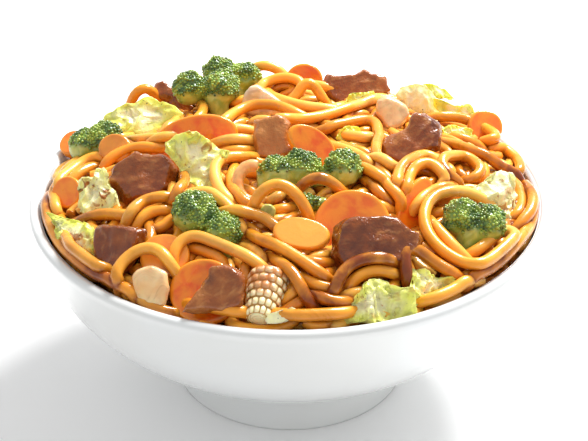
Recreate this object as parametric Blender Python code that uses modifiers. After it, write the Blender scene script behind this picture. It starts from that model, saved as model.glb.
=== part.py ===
"""Yakisoba in its bowl: thick wheat noodles heaped in a white porcelain bowl, with meat, broccoli,
carrot, cabbage, mushroom, onion and baby corn lying among them.

Metres, +Z up. The origin is on the table, under the middle of the bowl's foot.
Places and sizes in the tables below are in millimetres.
"""

import math

import bmesh
import bpy
from mathutils import Matrix, Vector, noise
from mathutils.bvhtree import BVHTree
from mathutils.geometry import interpolate_bezier

MM = 0.001
BED_GAP = 0.5                   # clear space between the heap and the bowl

# The bowl
RIM_RADIUS = 100.0
BOWL_HEIGHT = 82.0
WALL = 4.5
WALL_SLOPE_AT_FOOT = 34.0       # degrees above level
WALL_SLOPE_AT_RIM = 75.0
WALL_REACH_FOOT = 62.0          # how far each end of the wall holds its slope
WALL_REACH_RIM = 25.0
FOOT_TOP_RADIUS = 45.0
FOOT_RADIUS = 46.5
FOOT_HEIGHT = 13.0
FOOT_RING = 5.5
FOOT_ROUND = 0.8
RECESS = 4.0
FLOOR_HEIGHT = 11.5
TURN_STEPS = 42

# The heap
HEAP_EDGE_HEIGHT = 79.0
HEAP_CROWN = 18.0               # how far its middle rises over its edge
HEAP_FALL = 3.0                 # the larger, the flatter the middle
HEAP_RINGS = 14
HEAP_LUMP = 2.2
HEAP_LUMP_SIZE = 17.0
HEAP_BAND = 2.0                 # height of the straight band at the top of its side
POCKET_CLEAR = 1.0              # space left under each piece that lies in the heap
PROBE_STEP = 1.7                # how closely the undersides of the pieces are felt
POCKET_DEPTH = 18.0             # how far the deepest bed lies under the heap's edge

# Shares and counts for the pieces in the heap
SLICE_SIDES = 12
SLICE_TAPER = 0.95              # back face over front face
SLICE_EDGE = 0.24               # softened edge over thickness
SLICE_OVAL = 0.035
SLICE_WOBBLE = 0.025
SLICE_TILT = 0.9                # how far its rim warps, in millimetres
LUMP_LAYERS = ((0.76, -0.5), (1.0, 0.1), (0.84, 0.5))    # share of its outline, of its thickness
LUMP_CROWN = 0.07               # how far its faces swell, over its thickness
LUMP_GRAIN = 9.0
NOISE_SEED = 3                  # any but 0: fixes the unevenness, so every build is the same
LUMP_UNEVEN = 0.11
LEAF_RINGS = (0.5, 1.0)         # shares of its outline
LEAF_THICKNESS = 1.8
LEAF_CROSS_WAVE = 0.45
HEAD_BUMP = 0.10
HEAD_BUMP_SIZE = 0.55
HEAD_DEPTH = 0.86
STEM_SIDES = 9
STEM_OVAL = 0.12
ONION_STEPS = 11
ONION_STRETCH = 1.25
CORN_SIDES = 12
CORN_STEPS = 4
CORN_ROUND = 1.4                # how far back from its tip the cob reaches its tip radius

# Florets: name, place, facing (azimuth, elevation, spin), heads (x, y, z, radius), stem (from, to,
# radius at each end). In a piece's own axes x runs across, y up and z out of its shown face.
FLORETS = (
    ("broccoli_left", (-77.0, 20.5, 90.0), (-20, 35, 0),
     ((-3.5, -1.5, 0, 7.4), (3.5, 3.0, 0, 6.8)), ((2, -4, -1), (4, -12, -2), 4.5, 3.5)),
    ("broccoli_upper_left", (-35.0, 54.0, 98.0), (-5, 30, 0),
     ((-6.5, 0.5, 0, 7.2), (6.5, 1.5, 0, 7.6)), ((4.5, -1, 0), (7, -14, -1), 5.5, 3.6)),
    ("broccoli_back", (-24.0, 76.0, 94.5), (0, 30, 0),
     ((-6.0, 1.5, 0, 7.2), (5.0, -0.5, 0, 6.6)), ((1.0, -3, 0), (3, -12, 0), 4.5, 3.5)),
    ("broccoli_middle", (5.0, -22.0, 101.5), (0, 48, 0),
     ((-9.5, -1.5, 0, 6.8), (-1.0, 0.5, 0, 7.2), (14.5, 0.5, 0, 7.2)),
     ((16, -1.5, -1), (-17, -4.5, -2), 3.4, 4.4)),
    ("broccoli_lower", (-29.5, -52.0, 95.5), (-10, 45, -18),
     ((-5.5, 2.5, 0, 8.2), (6.8, 0.2, 0, 7.0)), ((6, -2, -1), (13, -6, -3), 4.0, 3.0)),
    ("broccoli_right", (65.0, -45.0, 91.0), (10, 35, -8),
     ((-4.2, 2.6, 0, 7.0), (5.0, 1.0, 0, 7.4)), ((0, 0, 0), (-1.5, -11, -2), 6.2, 4.0)),
    ("broccoli_under", (7.5, -34.5, 94.0), (0, 45, 0),
     ((-1.5, 0, 0, 4.2),), ((0, 0, 0), (6, 0, 0), 3.0, 2.4)),
)

# A stem cut off short: name, place, facing, length, radius
STEMS = (
    ("broccoli_stem_end", (-8.0, -43.0, 95.5), (0, 25, 0), 6.0, 3.2),
)

# Slices: name, place, facing, radius, thickness, height over width
CARROTS = (
    ("carrot_far_left", (-87.2, 30.6, 85.0), (-35, 50, 0), 5.8, 3.6, 1.0),
    ("carrot_left", (-83.5, -13.5, 87.0), (-25, 35, 15), 6.4, 3.8, 1.0),
    ("carrot_upper_left", (-37.0, 9.0, 97.5), (-5, 32, 16), 17.5, 4.0, 0.57),
    ("carrot_back", (6.0, 79.0, 91.0), (0, 30, 0), 8.4, 3.6, 0.9),
    ("carrot_glazed", (8.2, -4.2, 102.0), (25, 42, -49), 11.3, 3.6, 0.55),
    ("carrot_middle", (22.0, -45.6, 92.5), (0, 46, 0), 14.0, 3.8, 0.87),
    ("carrot_tall", (44.5, -34.9, 93.1), (38, 30, 41), 12.5, 3.4, 0.45),
    ("carrot_right", (56.5, -24.5, 92.5), (0, 46, 20), 6.8, 3.4, 0.85),
    ("carrot_far_right", (80.0, 42.0, 87.0), (20, 35, -30), 7.2, 3.6, 1.0),
    ("carrot_front", (-29.1, -76.7, 83.5), (-14, 38, 10), 12.4, 4.0, 0.97),
    ("carrot_sauced", (-67.5, 8.5, 94.0), (-15, 40, 0), 6.8, 4.0, 0.85),
    ("carrot_round", (-43.2, -62.7, 89.0), (-5, 52, 0), 8.8, 3.8, 0.97),
    ("carrot_pale", (4.0, -59.2, 95.7), (0, 48, -6), 10.0, 4.0, 0.6),
)

# Lumps: name, place, facing, thickness, bend over its width, seed, what it is
LUMPS = (
    ("meat_upper_left", (-51.0, 67.0, 89.5), (0, 35, -35), 11.0, 0.0, 3, "meat"),
    ("meat_left", (-54.0, -12.9, 96.2), (-8, 45, 4), 11.0, 0.08, 7, "meat"),
    ("meat_front_left", (-60.1, -55.8, 88.7), (-25, 38, 12), 10.0, 0.08, 11, "meat"),
    ("meat_middle", (-7.0, 4.5, 102.0), (-5, 38, 8), 10.0, 0.0, 17, "meat"),
    ("meat_back", (29.0, 67.0, 92.5), (5, 35, -6), 12.0, 0.10, 23, "meat"),
    ("meat_right", (46.0, 9.0, 100.0), (5, 40, 28), 11.0, 0.10, 29, "meat"),
    ("meat_front", (30.6, -62.0, 93.5), (5, 42, 0), 13.0, 0.14, 31, "meat"),
    ("meat_front_middle", (-24.5, -82.0, 90.2), (-5, 40, -6), 7.0, 0.0, 37, "meat"),
    ("mushroom_front", (-49.0, -74.4, 85.6), (-14, 38, 14), 4.5, 0.0, 41, "mushroom"),
    ("mushroom_back", (40.5, 33.0, 98.0), (5, 35, -10), 8.0, 0.0, 43, "mushroom"),
    ("onion_back", (-10.5, 43.0, 98.0), (-5, 35, -12), 10.0, 0.0, 47, "mushroom"),
)

# Leaves: name, place, facing, how deep its folds are, folds across, seed
LEAVES = (
    ("cabbage_upper_left", (-61.5, 44.0, 90.5), (-15, 40, 18), 2.4, 1.3, 3),
    ("cabbage_folded", (-30.0, -15.0, 102.8), (0, 50, -42), 2.2, 1.4, 5),
    ("cabbage_left", (-73.2, -24.3, 91.2), (-30, 45, 20), 1.8, 1.5, 9),
    ("cabbage_far_left", (-75.1, -40.9, 87.4), (-40, 48, -60), 2.0, 1.6, 13),
    ("cabbage_front", (27.0, -81.5, 86.0), (10, 48, 4), 2.4, 1.9, 15),
    ("cabbage_front_right", (55.0, -67.5, 86.5), (25, 45, 24), 1.6, 1.4, 19),
    ("cabbage_right", (76.0, -23.5, 89.5), (30, 40, -62), 2.2, 1.5, 21),
    ("cabbage_back", (52.0, 61.0, 91.0), (10, 35, 0), 2.0, 1.1, 25),
    ("cabbage_back_edge", (60.5, 69.0, 91.0), (10, 35, -20), 0.8, 1.0, 27),
    ("cabbage_back_right", (70.0, 55.0, 88.0), (15, 35, -14), 1.2, 1.2, 33),
    ("cabbage_rib", (1.7, -89.9, 85.0), (0, 45, 8), 0.4, 0.8, 35),
    ("cabbage_middle", (23.5, 12.0, 98.0), (5, 45, -10), 1.0, 1.0, 39),
    ("cabbage_inner_right", (66.0, 26.0, 92.5), (15, 40, -8), 0.8, 1.2, 41),
    ("cabbage_inner_back", (29.0, 48.0, 96.5), (5, 40, 4), 0.9, 1.2, 43),
)

# The outline of each lump and leaf in its own plane, as (across, up)
OUTLINES = {
    "meat_upper_left": (
        (-7, -4), (-8, 0.5), (-6.5, 3.5), (-1.5, 3.5), (3, 4.5), (6, 3.5), (9, 2), (13.5, 1.5),
        (13.5, -4.5), (9.5, -4.5), (2.5, -4), (-3.5, -4)),
    "meat_left": (
        (-3, 7), (0.5, 5.5), (5.5, 5.5), (9.5, 4), (12, 0), (11.5, -4.5), (10, -10.5), (4.5, -12.5),
        (-1.5, -13), (-6.5, -14.5), (-9, -11), (-11, -7), (-14, -5), (-13.5, -3), (-11, 1),
        (-8, 2.5), (-6, 4.5)),
    "meat_front_left": (
        (-8.5, 7.5), (-5, 8.5), (0.5, 8), (5, 7.5), (10.5, 6.5), (9.5, 2), (8, -4), (4, -10),
        (0, -15.5), (-5, -13.5), (-6, -8), (-8, -2.5), (-9, 3.5)),
    "meat_middle": (
        (-5.5, 6.5), (-2.5, 7.5), (1.5, 7.5), (5, 6.5), (8, 3.5), (7, -2), (7, -5), (9.5, -8.5),
        (5.5, -10.5), (0, -11), (-6.5, -9.5), (-6.5, -0.5)),
    "meat_back": (
        (-14.5, 5.5), (-8.5, 6), (-3.5, 5.5), (1.5, 7.5), (4, 6.5), (7, 5.5), (12.5, 5.5), (12, 1.5),
        (15, -1.5), (9.5, -3), (0.5, -4), (-5.5, -6.5), (-8, -9), (-13.5, -7), (-16, -2.5)),
    "meat_right": (
        (0, 3), (3.5, 5), (6.5, 5.5), (9, 4.5), (11, 1), (12.5, -3.5), (11, -7), (6.5, -11),
        (0.5, -9), (-7.5, -9), (-10.5, -9), (-13, -5.5), (-15, -2), (-12, 1.5), (-8.5, 3),
        (-4, 2.5)),
    "meat_front": (
        (-16, 7.5), (-11, 9), (-6.5, 10), (-1, 10.5), (3.5, 10), (7, 9), (9, 6.5), (12, 3.5),
        (15, 2.5), (14.5, -2), (9, -8), (0, -9.5), (-8, -10.5), (-15, -11.5), (-16.5, -3.5)),
    "meat_front_middle": (
        (-3.5, 5), (-2, 6.5), (2, 6.5), (5.5, 6), (8, 4), (9.5, -2.5), (10.5, -6.5), (5, -9),
        (-1, -9.5), (-10, -11.5), (-8, -7.5), (-5.5, -1.5), (-4, 1.5)),
    "mushroom_front": (
        (-5, 3), (-3, 5), (2.5, 6), (8, 3), (8.5, -3), (6.5, -9.5), (-1, -9), (-3.5, -5),
        (-4.5, -2)),
    "mushroom_back": (
        (-6.5, 4), (-3.5, 6.5), (1.5, 5.5), (5.5, 3.5), (7.5, 0), (5, -5), (2.5, -8), (-1.5, -8),
        (-4, -4.5), (-7, -1.5)),
    "onion_back": (
        (-9, 2), (-7, 5), (-4.5, 6), (-1, 5), (3.5, 3), (8, 1), (9.5, -3), (5, -6), (-1, -8),
        (-5, -8), (-8.5, -5), (-9, -1.5)),
    "cabbage_upper_left": (
        (-18, 2), (-15.5, 4.5), (-8.5, 5.5), (-2, 6), (1.5, 7), (5, 8), (8.5, 5), (14, 2), (19, -3.5),
        (11.5, -5), (4, -9.5), (-1, -9.5), (-8, -5.5), (-10.5, -1.5)),
    "cabbage_folded": (
        (-16.5, -6.5), (-15.5, -5), (-14.5, -2), (-11, 1.5), (-9, 3.5), (-3.5, 4.5), (0.5, 5.5),
        (4, 6.5), (5.5, 5), (3, 1), (5.5, -3), (11, -9), (10.5, -11), (5.5, -12), (-2.5, -11.5),
        (-8, -10), (-13, -9)),
    "cabbage_left": (
        (-4.5, 6), (-2, 7), (1, 7), (1.5, 10.5), (4.5, 11.5), (6, 8), (5.5, 4.5), (8.5, 2),
        (12.5, -5.5), (4.5, -6.5), (-2, -7), (-5, -4), (-3.5, 1)),
    "cabbage_far_left": (
        (-8.5, -15), (-6, -8), (-3, -1), (0.5, 6.5), (5.5, 8.5), (13.5, 9.5), (18.5, 11), (20, 9.5),
        (17, 3.5), (9.5, -3.5), (3.5, -8.5), (-1.5, -10.5), (-5, -12.5)),
    "cabbage_front": (
        (-16.5, -4.5), (-11.5, -2.5), (-7, -2), (-4, 0.5), (-1, 3.5), (3, 4), (6.5, 2), (10.5, 0),
        (14, -0.5), (13.5, -9), (6.5, -9.5), (-0.5, -10), (-9.5, -8), (-15, -6.5)),
    "cabbage_front_right": (
        (-9.5, 9.5), (-7.5, 5), (-5, 0.5), (-1, -3.5), (0.5, -6), (-5.5, -4), (-10.5, -2),
        (-17, -1.5), (-22, -1.5), (-18, 4.5), (-12.5, 7)),
    "cabbage_right": (
        (-9, -5.5), (-9.5, -3), (-7.5, 1.5), (-6, 7), (-5, 10.5), (-2.5, 12.5), (2, 11.5), (4.5, 9.5),
        (6.5, 5.5), (9, 0), (8, -4), (3, -4), (-4, -6)),
    "cabbage_back": (
        (-7.5, 2.5), (-5, 5), (1, 6), (5, 4.5), (9, -0.5), (10, -8), (2.5, -8), (-3, -7.5),
        (-5.5, -2.5)),
    "cabbage_back_edge": (
        (-5, 1), (-2, 2.5), (2, 2.5), (6.5, 1), (10.5, -1), (5.5, -2), (2, -3), (-1.5, -1)),
    "cabbage_back_right": (
        (-11, 4), (-7, 3), (-2.5, 2), (2, 3), (5.5, 4), (8, 0.5), (11, -2), (5.5, -3), (-5.5, -3),
        (-8.5, -0.5)),
    "cabbage_rib": (
        (-10.5, -2), (-8.5, -0.5), (-4.5, 0.5), (-0.5, 1), (1, -0.5), (1, -3), (-4, -3),
        (-10, -3.5)),
    "cabbage_middle": (
        (-5, -2), (-4, 2), (-1, 3.5), (2.5, 3), (5, 0.5), (4, -3), (0, -3.5)),
    "cabbage_inner_right": (
        (-7.5, 1.5), (-3, 3), (2, 2.5), (7, 0.5), (6, -2), (0, -2.5), (-5, -1.5)),
    "cabbage_inner_back": (
        (-6.5, 0), (-4, 2.5), (0.5, 3), (5, 2.5), (6.5, 0), (4, -2.5), (-2, -3)),
}

# The onion strip bends round in an open ring: place, facing, ring radius, strip radius, and the
# angles at which it starts and ends
ONION_STRIP = ((-13.5, -30.0, 100.0), (0, 45, 0), 5.6, 2.6, 70.0, 320.0)

# Baby corn: place of its middle, facing of its tip, length, tip radius, cut radius
BABY_CORN = ((-8.6, -82.2, 84.7), (-12, -20, 0), 18.0, 3.6, 7.2)

COLOURS = {
    "porcelain": ((0.86, 0.88, 0.87), 0.12),
    "noodle": ((0.80, 0.36, 0.07), 0.30),
    "broccoli": ((0.10, 0.22, 0.04), 0.65),
    "carrot": ((0.86, 0.20, 0.02), 0.35),
    "meat": ((0.24, 0.08, 0.03), 0.35),
    "mushroom": ((0.86, 0.68, 0.42), 0.40),
    "cabbage": ((0.72, 0.76, 0.30), 0.45),
    "corn": ((0.85, 0.68, 0.30), 0.45),
}


def clear_scene():
    for old in list(bpy.data.objects):
        bpy.data.objects.remove(old, do_unlink=True)


def new_collection(name):
    collection = bpy.data.collections.new(name)
    bpy.context.scene.collection.children.link(collection)
    return collection


def make_materials():
    made = {}
    for name, (colour, roughness) in COLOURS.items():
        material = bpy.data.materials.new(name)
        material.use_nodes = True
        surface = material.node_tree.nodes["Principled BSDF"]
        surface.inputs["Base Color"].default_value = (*colour, 1.0)
        surface.inputs["Roughness"].default_value = roughness
        surface.inputs["Metallic"].default_value = 0.0
        made[name] = material
    return made


def facing_matrix(place, facing):
    """A place and a turn: local z looks out along the facing, x runs across, y up."""
    azimuth, elevation, spin = (math.radians(angle) for angle in facing)
    out = Vector((math.sin(azimuth) * math.cos(elevation),
                  -math.cos(azimuth) * math.cos(elevation),
                  math.sin(elevation)))
    across = Vector((math.cos(azimuth), math.sin(azimuth), 0.0))
    turn = Matrix((across, out.cross(across), out)).transposed().to_4x4()
    return Matrix.Translation(Vector(place) * MM) @ turn @ Matrix.Rotation(spin, 4, "Z")


def add_object(name, mesh, material, collection, matrix=None):
    """Turns a bmesh in millimetres into a named object in metres."""
    bmesh.ops.scale(mesh, vec=(MM, MM, MM), verts=mesh.verts)
    bmesh.ops.recalc_face_normals(mesh, faces=mesh.faces)
    data = bpy.data.meshes.new(name)
    mesh.to_mesh(data)
    mesh.free()
    data.shade_smooth()
    piece = bpy.data.objects.new(name, data)
    piece.data.materials.append(material)
    collection.objects.link(piece)
    if matrix is not None:
        piece.matrix_world = matrix
    return piece


# ---------------------------------------------------------------- bowl and heap

def outer_wall(points=7):
    """The wall's outer side as (radius, height), from the foot up to the rim."""
    low = Vector((FOOT_TOP_RADIUS, FOOT_HEIGHT, 0.0))
    high = Vector((RIM_RADIUS, BOWL_HEIGHT - WALL / 2, 0.0))
    leave = math.radians(WALL_SLOPE_AT_FOOT)
    arrive = math.radians(WALL_SLOPE_AT_RIM)
    low_handle = low + WALL_REACH_FOOT * Vector((math.cos(leave), math.sin(leave), 0.0))
    high_handle = high - WALL_REACH_RIM * Vector((math.cos(arrive), math.sin(arrive), 0.0))
    curve = interpolate_bezier(low, low_handle, high_handle, high, points)
    return [(point.x, point.y) for point in curve]


def offset_inwards(outline, distance):
    """The outline moved square to itself, towards the axis and up."""
    moved = []
    for index, (radius, height) in enumerate(outline):
        before = outline[max(index - 1, 0)]
        after = outline[min(index + 1, len(outline) - 1)]
        run, rise = after[0] - before[0], after[1] - before[1]
        length = math.hypot(run, rise)
        moved.append((radius - distance * rise / length, height + distance * run / length))
    return moved


def floor_curve(start, height, points=4):
    """From the foot of the inner wall in to the axis, landing level."""
    slope = math.tan(math.radians(WALL_SLOPE_AT_FOOT))
    first = Vector((start[0], start[1], 0.0))
    run = (start[1] - height) / slope
    first_handle = Vector((start[0] - run, height, 0.0))
    last_handle = Vector((first_handle.x / 2, height, 0.0))
    curve = interpolate_bezier(first, first_handle, last_handle, Vector((0.0, height, 0.0)), points)
    return [(point.x, point.y) for point in curve[1:]]


def turned(name, profile, material, collection):
    """A closed turned body from a profile that runs from the axis round to the axis."""
    mesh = bmesh.new()
    ring = [mesh.verts.new((radius, 0.0, height)) for radius, height in profile]
    for start, end in zip(ring, ring[1:]):
        mesh.edges.new((start, end))
    piece = add_object(name, mesh, material, collection)
    screw = piece.modifiers.new("turn", "SCREW")
    screw.steps = TURN_STEPS
    screw.render_steps = TURN_STEPS
    screw.use_merge_vertices = True
    screw.merge_threshold = 0.00001
    screw.use_smooth_shade = True
    return piece


def inside_of_bowl():
    """The bowl's inside as (radius, height), from the middle of its floor up to the rim."""
    inner = offset_inwards(outer_wall(), WALL)
    return list(reversed(floor_curve(inner[0], FLOOR_HEIGHT))) + inner


def make_bowl(material, collection):
    lip_middle = RIM_RADIUS - WALL / 2
    lip = []
    for degrees in (135, 90, 45):
        angle = math.radians(degrees)
        lip.append((lip_middle + WALL / 2 * math.cos(angle),
                    BOWL_HEIGHT - WALL / 2 + WALL / 2 * math.sin(angle)))
    foot = [
        (FOOT_RADIUS, FOOT_ROUND),
        (FOOT_RADIUS - FOOT_ROUND, 0.0),
        (FOOT_RADIUS - FOOT_RING + FOOT_ROUND, 0.0),
        (FOOT_RADIUS - FOOT_RING, FOOT_ROUND),
        (FOOT_RADIUS - FOOT_RING - FOOT_ROUND, RECESS),
        (0.0, RECESS),
    ]
    profile = inside_of_bowl() + lip + list(reversed(outer_wall())) + foot
    return turned("bowl", profile, material, collection)


def heap_side():
    """The heap's underside and side, just inside the bowl, up to the heap's edge."""
    side = offset_inwards(inside_of_bowl(), BED_GAP)
    side = [point for point in side if point[1] < HEAP_EDGE_HEIGHT - HEAP_BAND]
    side[0] = (0.0, side[0][1])
    return side + [(RIM_RADIUS - WALL - BED_GAP, HEAP_EDGE_HEIGHT)]


def side_radius(side, height):
    """How far out the heap's side stands at a height near its edge."""
    (low_radius, low_height), (high_radius, high_height) = side[-2:]
    share = (height - low_height) / (high_height - low_height)
    return low_radius + (high_radius - low_radius) * min(max(share, 0.0), 1.0)


def dome_height(radius):
    edge = RIM_RADIUS - WALL - BED_GAP
    return HEAP_EDGE_HEIGHT + HEAP_CROWN * (1 - min(radius / edge, 1.0) ** HEAP_FALL)


def tree_of(pieces):
    """One search tree over every piece, in world space."""
    graph = bpy.context.evaluated_depsgraph_get()
    every = bmesh.new()
    for piece in pieces:
        data = bpy.data.meshes.new_from_object(piece.evaluated_get(graph))
        data.transform(piece.matrix_world)
        every.from_mesh(data)
        bpy.data.meshes.remove(data)
    tree = BVHTree.FromBMesh(every)
    every.free()
    return tree


def lowest_piece(tree, x, y, reach):
    """The lowest point of any piece over a small square, in millimetres, or None."""
    lowest = None
    upwards = Vector((0.0, 0.0, 1.0))
    steps = math.ceil(reach / PROBE_STEP)
    for step_x in range(-steps, steps + 1):
        for step_y in range(-steps, steps + 1):
            start = Vector((x + step_x * reach / steps, y + step_y * reach / steps, 0.0)) * MM
            hit = tree.ray_cast(start, upwards)[0]
            if hit is not None and (lowest is None or hit.z / MM < lowest):
                lowest = hit.z / MM
    return lowest


def make_heap(material, collection, pieces):
    """Noodles as one body that fills the bowl, lumpy on top, with a bed under every piece."""
    side = heap_side()
    edge = side[-1][0]
    ring_width = edge / HEAP_RINGS
    top = [(ring_width * index, dome_height(ring_width * index)) for index in range(HEAP_RINGS)]
    source = turned("heap_source", top + list(reversed(side)), material, collection)
    graph = bpy.context.evaluated_depsgraph_get()
    data = bpy.data.meshes.new_from_object(source.evaluated_get(graph))
    bpy.data.objects.remove(source, do_unlink=True)
    tree = tree_of(pieces)
    for vertex in data.vertices:
        x, y, z = vertex.co / MM
        if z < HEAP_EDGE_HEIGHT - HEAP_BAND / 4:
            continue
        radius = math.hypot(x, y)
        lump = noise.noise(Vector((x, y, 0.0)) / HEAP_LUMP_SIZE) * HEAP_LUMP
        height = dome_height(radius) + lump * min(1.0, (edge - radius) / HEAP_LUMP_SIZE)
        spacing = max(ring_width, 2 * math.pi * radius / TURN_STEPS)
        lowest = lowest_piece(tree, x, y, spacing)
        if lowest is not None:
            height = min(height, lowest - POCKET_CLEAR)
        if radius > edge - ring_width / 2:
            height = max(height, side[-2][1] + HEAP_BAND / 2)
            vertex.co *= side_radius(side, height) / edge
        vertex.co.z = max(height, HEAP_EDGE_HEIGHT - POCKET_DEPTH) * MM
    data.name = "noodle_heap"
    heap = bpy.data.objects.new("noodle_heap", data)
    collection.objects.link(heap)
    return heap


# ---------------------------------------------------------------- what lies in the heap

def make_slice(name, place, facing, radius, thickness, tall, material, collection):
    """A round slice: slightly oval, with a softened edge and a shallow cup."""
    mesh = bmesh.new()
    bmesh.ops.create_cone(mesh, cap_ends=True, segments=SLICE_SIDES,
                          radius1=radius * SLICE_TAPER, radius2=radius, depth=thickness)
    edges = [edge for edge in mesh.edges if abs(edge.verts[0].co.z - edge.verts[1].co.z) < 0.01]
    bmesh.ops.bevel(mesh, geom=edges, offset=thickness * SLICE_EDGE, segments=1, affect="EDGES",
                    profile=0.5)
    phase = sum(place)
    for vertex in mesh.verts:
        angle = math.atan2(vertex.co.y, vertex.co.x)
        uneven = 1.0 + SLICE_OVAL * math.sin(2 * angle + phase)
        uneven += SLICE_WOBBLE * math.sin(3 * angle - phase)
        across = math.hypot(vertex.co.x, vertex.co.y) / radius
        vertex.co.x *= uneven
        vertex.co.y *= uneven * tall
        vertex.co.z += SLICE_TILT * across * across * math.sin(angle + phase)
    return add_object(name, mesh, material, collection, facing_matrix(place, facing))


def follow_outline(mesh, corners, layers):
    """Rings of faces that follow an outline. A layer is its share of the outline and a height."""
    middle = sum((Vector(corner) for corner in corners), Vector((0.0, 0.0))) / len(corners)
    rings = []
    for share, height in layers:
        shrunk = [middle.lerp(Vector(corner), share) for corner in corners]
        rings.append([mesh.verts.new((*point, height)) for point in shrunk])
    for lower, upper in zip(rings, rings[1:]):
        for index in range(len(corners)):
            mesh.faces.new((lower[index - 1], lower[index], upper[index], upper[index - 1]))
    return rings


def make_lump(name, place, facing, thickness, bend, seed, material, collection):
    """A cut piece: its outline with worn edges, swollen and uneven, bent over its width."""
    mesh = bmesh.new()
    corners = OUTLINES[name]
    layers = [(share, height * thickness) for share, height in LUMP_LAYERS]
    rings = follow_outline(mesh, corners, layers)
    caps = [mesh.faces.new(reversed(rings[0])), mesh.faces.new(rings[-1])]
    bmesh.ops.poke(mesh, faces=caps, offset=LUMP_CROWN * thickness)
    half_width = max(abs(x) for x, y in corners)
    for vertex in mesh.verts:
        point = vertex.co.copy()
        uneven = noise.noise_vector(point / LUMP_GRAIN + Vector((seed, seed * 0.7, seed * 0.3)))
        point += uneven * thickness * LUMP_UNEVEN
        point.z -= bend * point.x * point.x / half_width
        vertex.co = point
    return add_object(name, mesh, material, collection, facing_matrix(place, facing))


def make_leaf(name, place, facing, depth, folds, seed, material, collection):
    """A torn leaf: a wavy sheet with a ragged outline, given its thickness."""
    mesh = bmesh.new()
    corners = OUTLINES[name]
    rings = follow_outline(mesh, corners, [(share, 0.0) for share in LEAF_RINGS])
    bmesh.ops.poke(mesh, faces=[mesh.faces.new(rings[0])])
    half_width = max(abs(x) for x, y in corners)
    half_height = max(abs(y) for x, y in corners)
    for vertex in mesh.verts:
        u, v = vertex.co.x / half_width, vertex.co.y / half_height
        wave = math.sin(folds * math.pi * u + seed)
        wave += LEAF_CROSS_WAVE * math.sin(2.3 * v + seed * 1.3)
        vertex.co.z = depth * wave
    leaf = add_object(name, mesh, material, collection, facing_matrix(place, facing))
    thickness = leaf.modifiers.new("thickness", "SOLIDIFY")
    thickness.thickness = LEAF_THICKNESS * MM
    thickness.offset = 0.0
    return leaf


def lumpy_head(middle, radius, seed):
    """One rounded floret head, broader than it is deep."""
    mesh = bmesh.new()
    bmesh.ops.create_icosphere(mesh, subdivisions=2, radius=radius)
    for vertex in mesh.verts:
        bump = noise.noise(vertex.co / (radius * HEAD_BUMP_SIZE) + Vector((seed, 0.0, seed)))
        vertex.co *= 1.0 + HEAD_BUMP * bump
        vertex.co.z *= HEAD_DEPTH
    bmesh.ops.translate(mesh, vec=middle, verts=mesh.verts)
    return mesh


def tapered_stem(start, end, start_radius, end_radius):
    start, end = Vector(start), Vector(end)
    mesh = bmesh.new()
    bmesh.ops.create_cone(mesh, cap_ends=True, segments=STEM_SIDES, radius1=start_radius,
                          radius2=end_radius, depth=(end - start).length)
    turn = (end - start).to_track_quat("Z", "Y").to_matrix()
    bmesh.ops.rotate(mesh, cent=(0, 0, 0), matrix=turn, verts=mesh.verts)
    bmesh.ops.translate(mesh, vec=(start + end) / 2, verts=mesh.verts)
    return mesh


def make_floret(name, place, facing, heads, stem, material, collection, cutters):
    """A stem with its heads joined on by Boolean unions."""
    matrix = facing_matrix(place, facing)
    floret = add_object(name, tapered_stem(*stem), material, collection, matrix)
    for index, (x, y, z, radius) in enumerate(heads):
        shape = lumpy_head(Vector((x, y, z)), radius, index + place[0])
        head = add_object(f"{name}_head_{index}", shape, material, cutters, matrix)
        head.hide_render = True
        head.display_type = "WIRE"
        union = floret.modifiers.new(f"head_{index}", "BOOLEAN")
        union.operation = "UNION"
        union.object = head
    return floret


def make_cut_stem(name, place, facing, length, radius, material, collection):
    mesh = tapered_stem((0, 0, -length / 2), (0, 0, length / 2), radius * 0.9, radius)
    for vertex in mesh.verts:
        vertex.co.x *= 1.0 + STEM_OVAL * math.sin(2.0 * math.atan2(vertex.co.y, vertex.co.x))
    return add_object(name, mesh, material, collection, facing_matrix(place, facing))


def make_onion_strip(material, collection):
    """A thick strip of onion curled into an open ring."""
    place, facing, radius, strip_radius, start, end = ONION_STRIP
    curve = bpy.data.curves.new("onion_strip", "CURVE")
    curve.dimensions = "3D"
    curve.bevel_depth = strip_radius * MM
    curve.bevel_resolution = 1
    curve.use_fill_caps = True
    line = curve.splines.new("POLY")
    line.points.add(ONION_STEPS - 1)
    for index, point in enumerate(line.points):
        angle = math.radians(start + (end - start) * index / (ONION_STEPS - 1))
        across = radius * math.cos(angle)
        up = radius * ONION_STRETCH * math.sin(angle)
        point.co = (across * MM, up * MM, 0.0, 1.0)
    path = bpy.data.objects.new("onion_path", curve)
    collection.objects.link(path)
    graph = bpy.context.evaluated_depsgraph_get()
    data = bpy.data.meshes.new_from_object(path.evaluated_get(graph))
    bpy.data.objects.remove(path, do_unlink=True)
    mesh = bmesh.new()
    mesh.from_mesh(data)
    bpy.data.meshes.remove(data)
    bmesh.ops.remove_doubles(mesh, verts=mesh.verts, dist=0.00001)
    bmesh.ops.scale(mesh, vec=(1 / MM, 1 / MM, 1 / MM), verts=mesh.verts)
    return add_object("onion_strip", mesh, material, collection, facing_matrix(place, facing))


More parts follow.
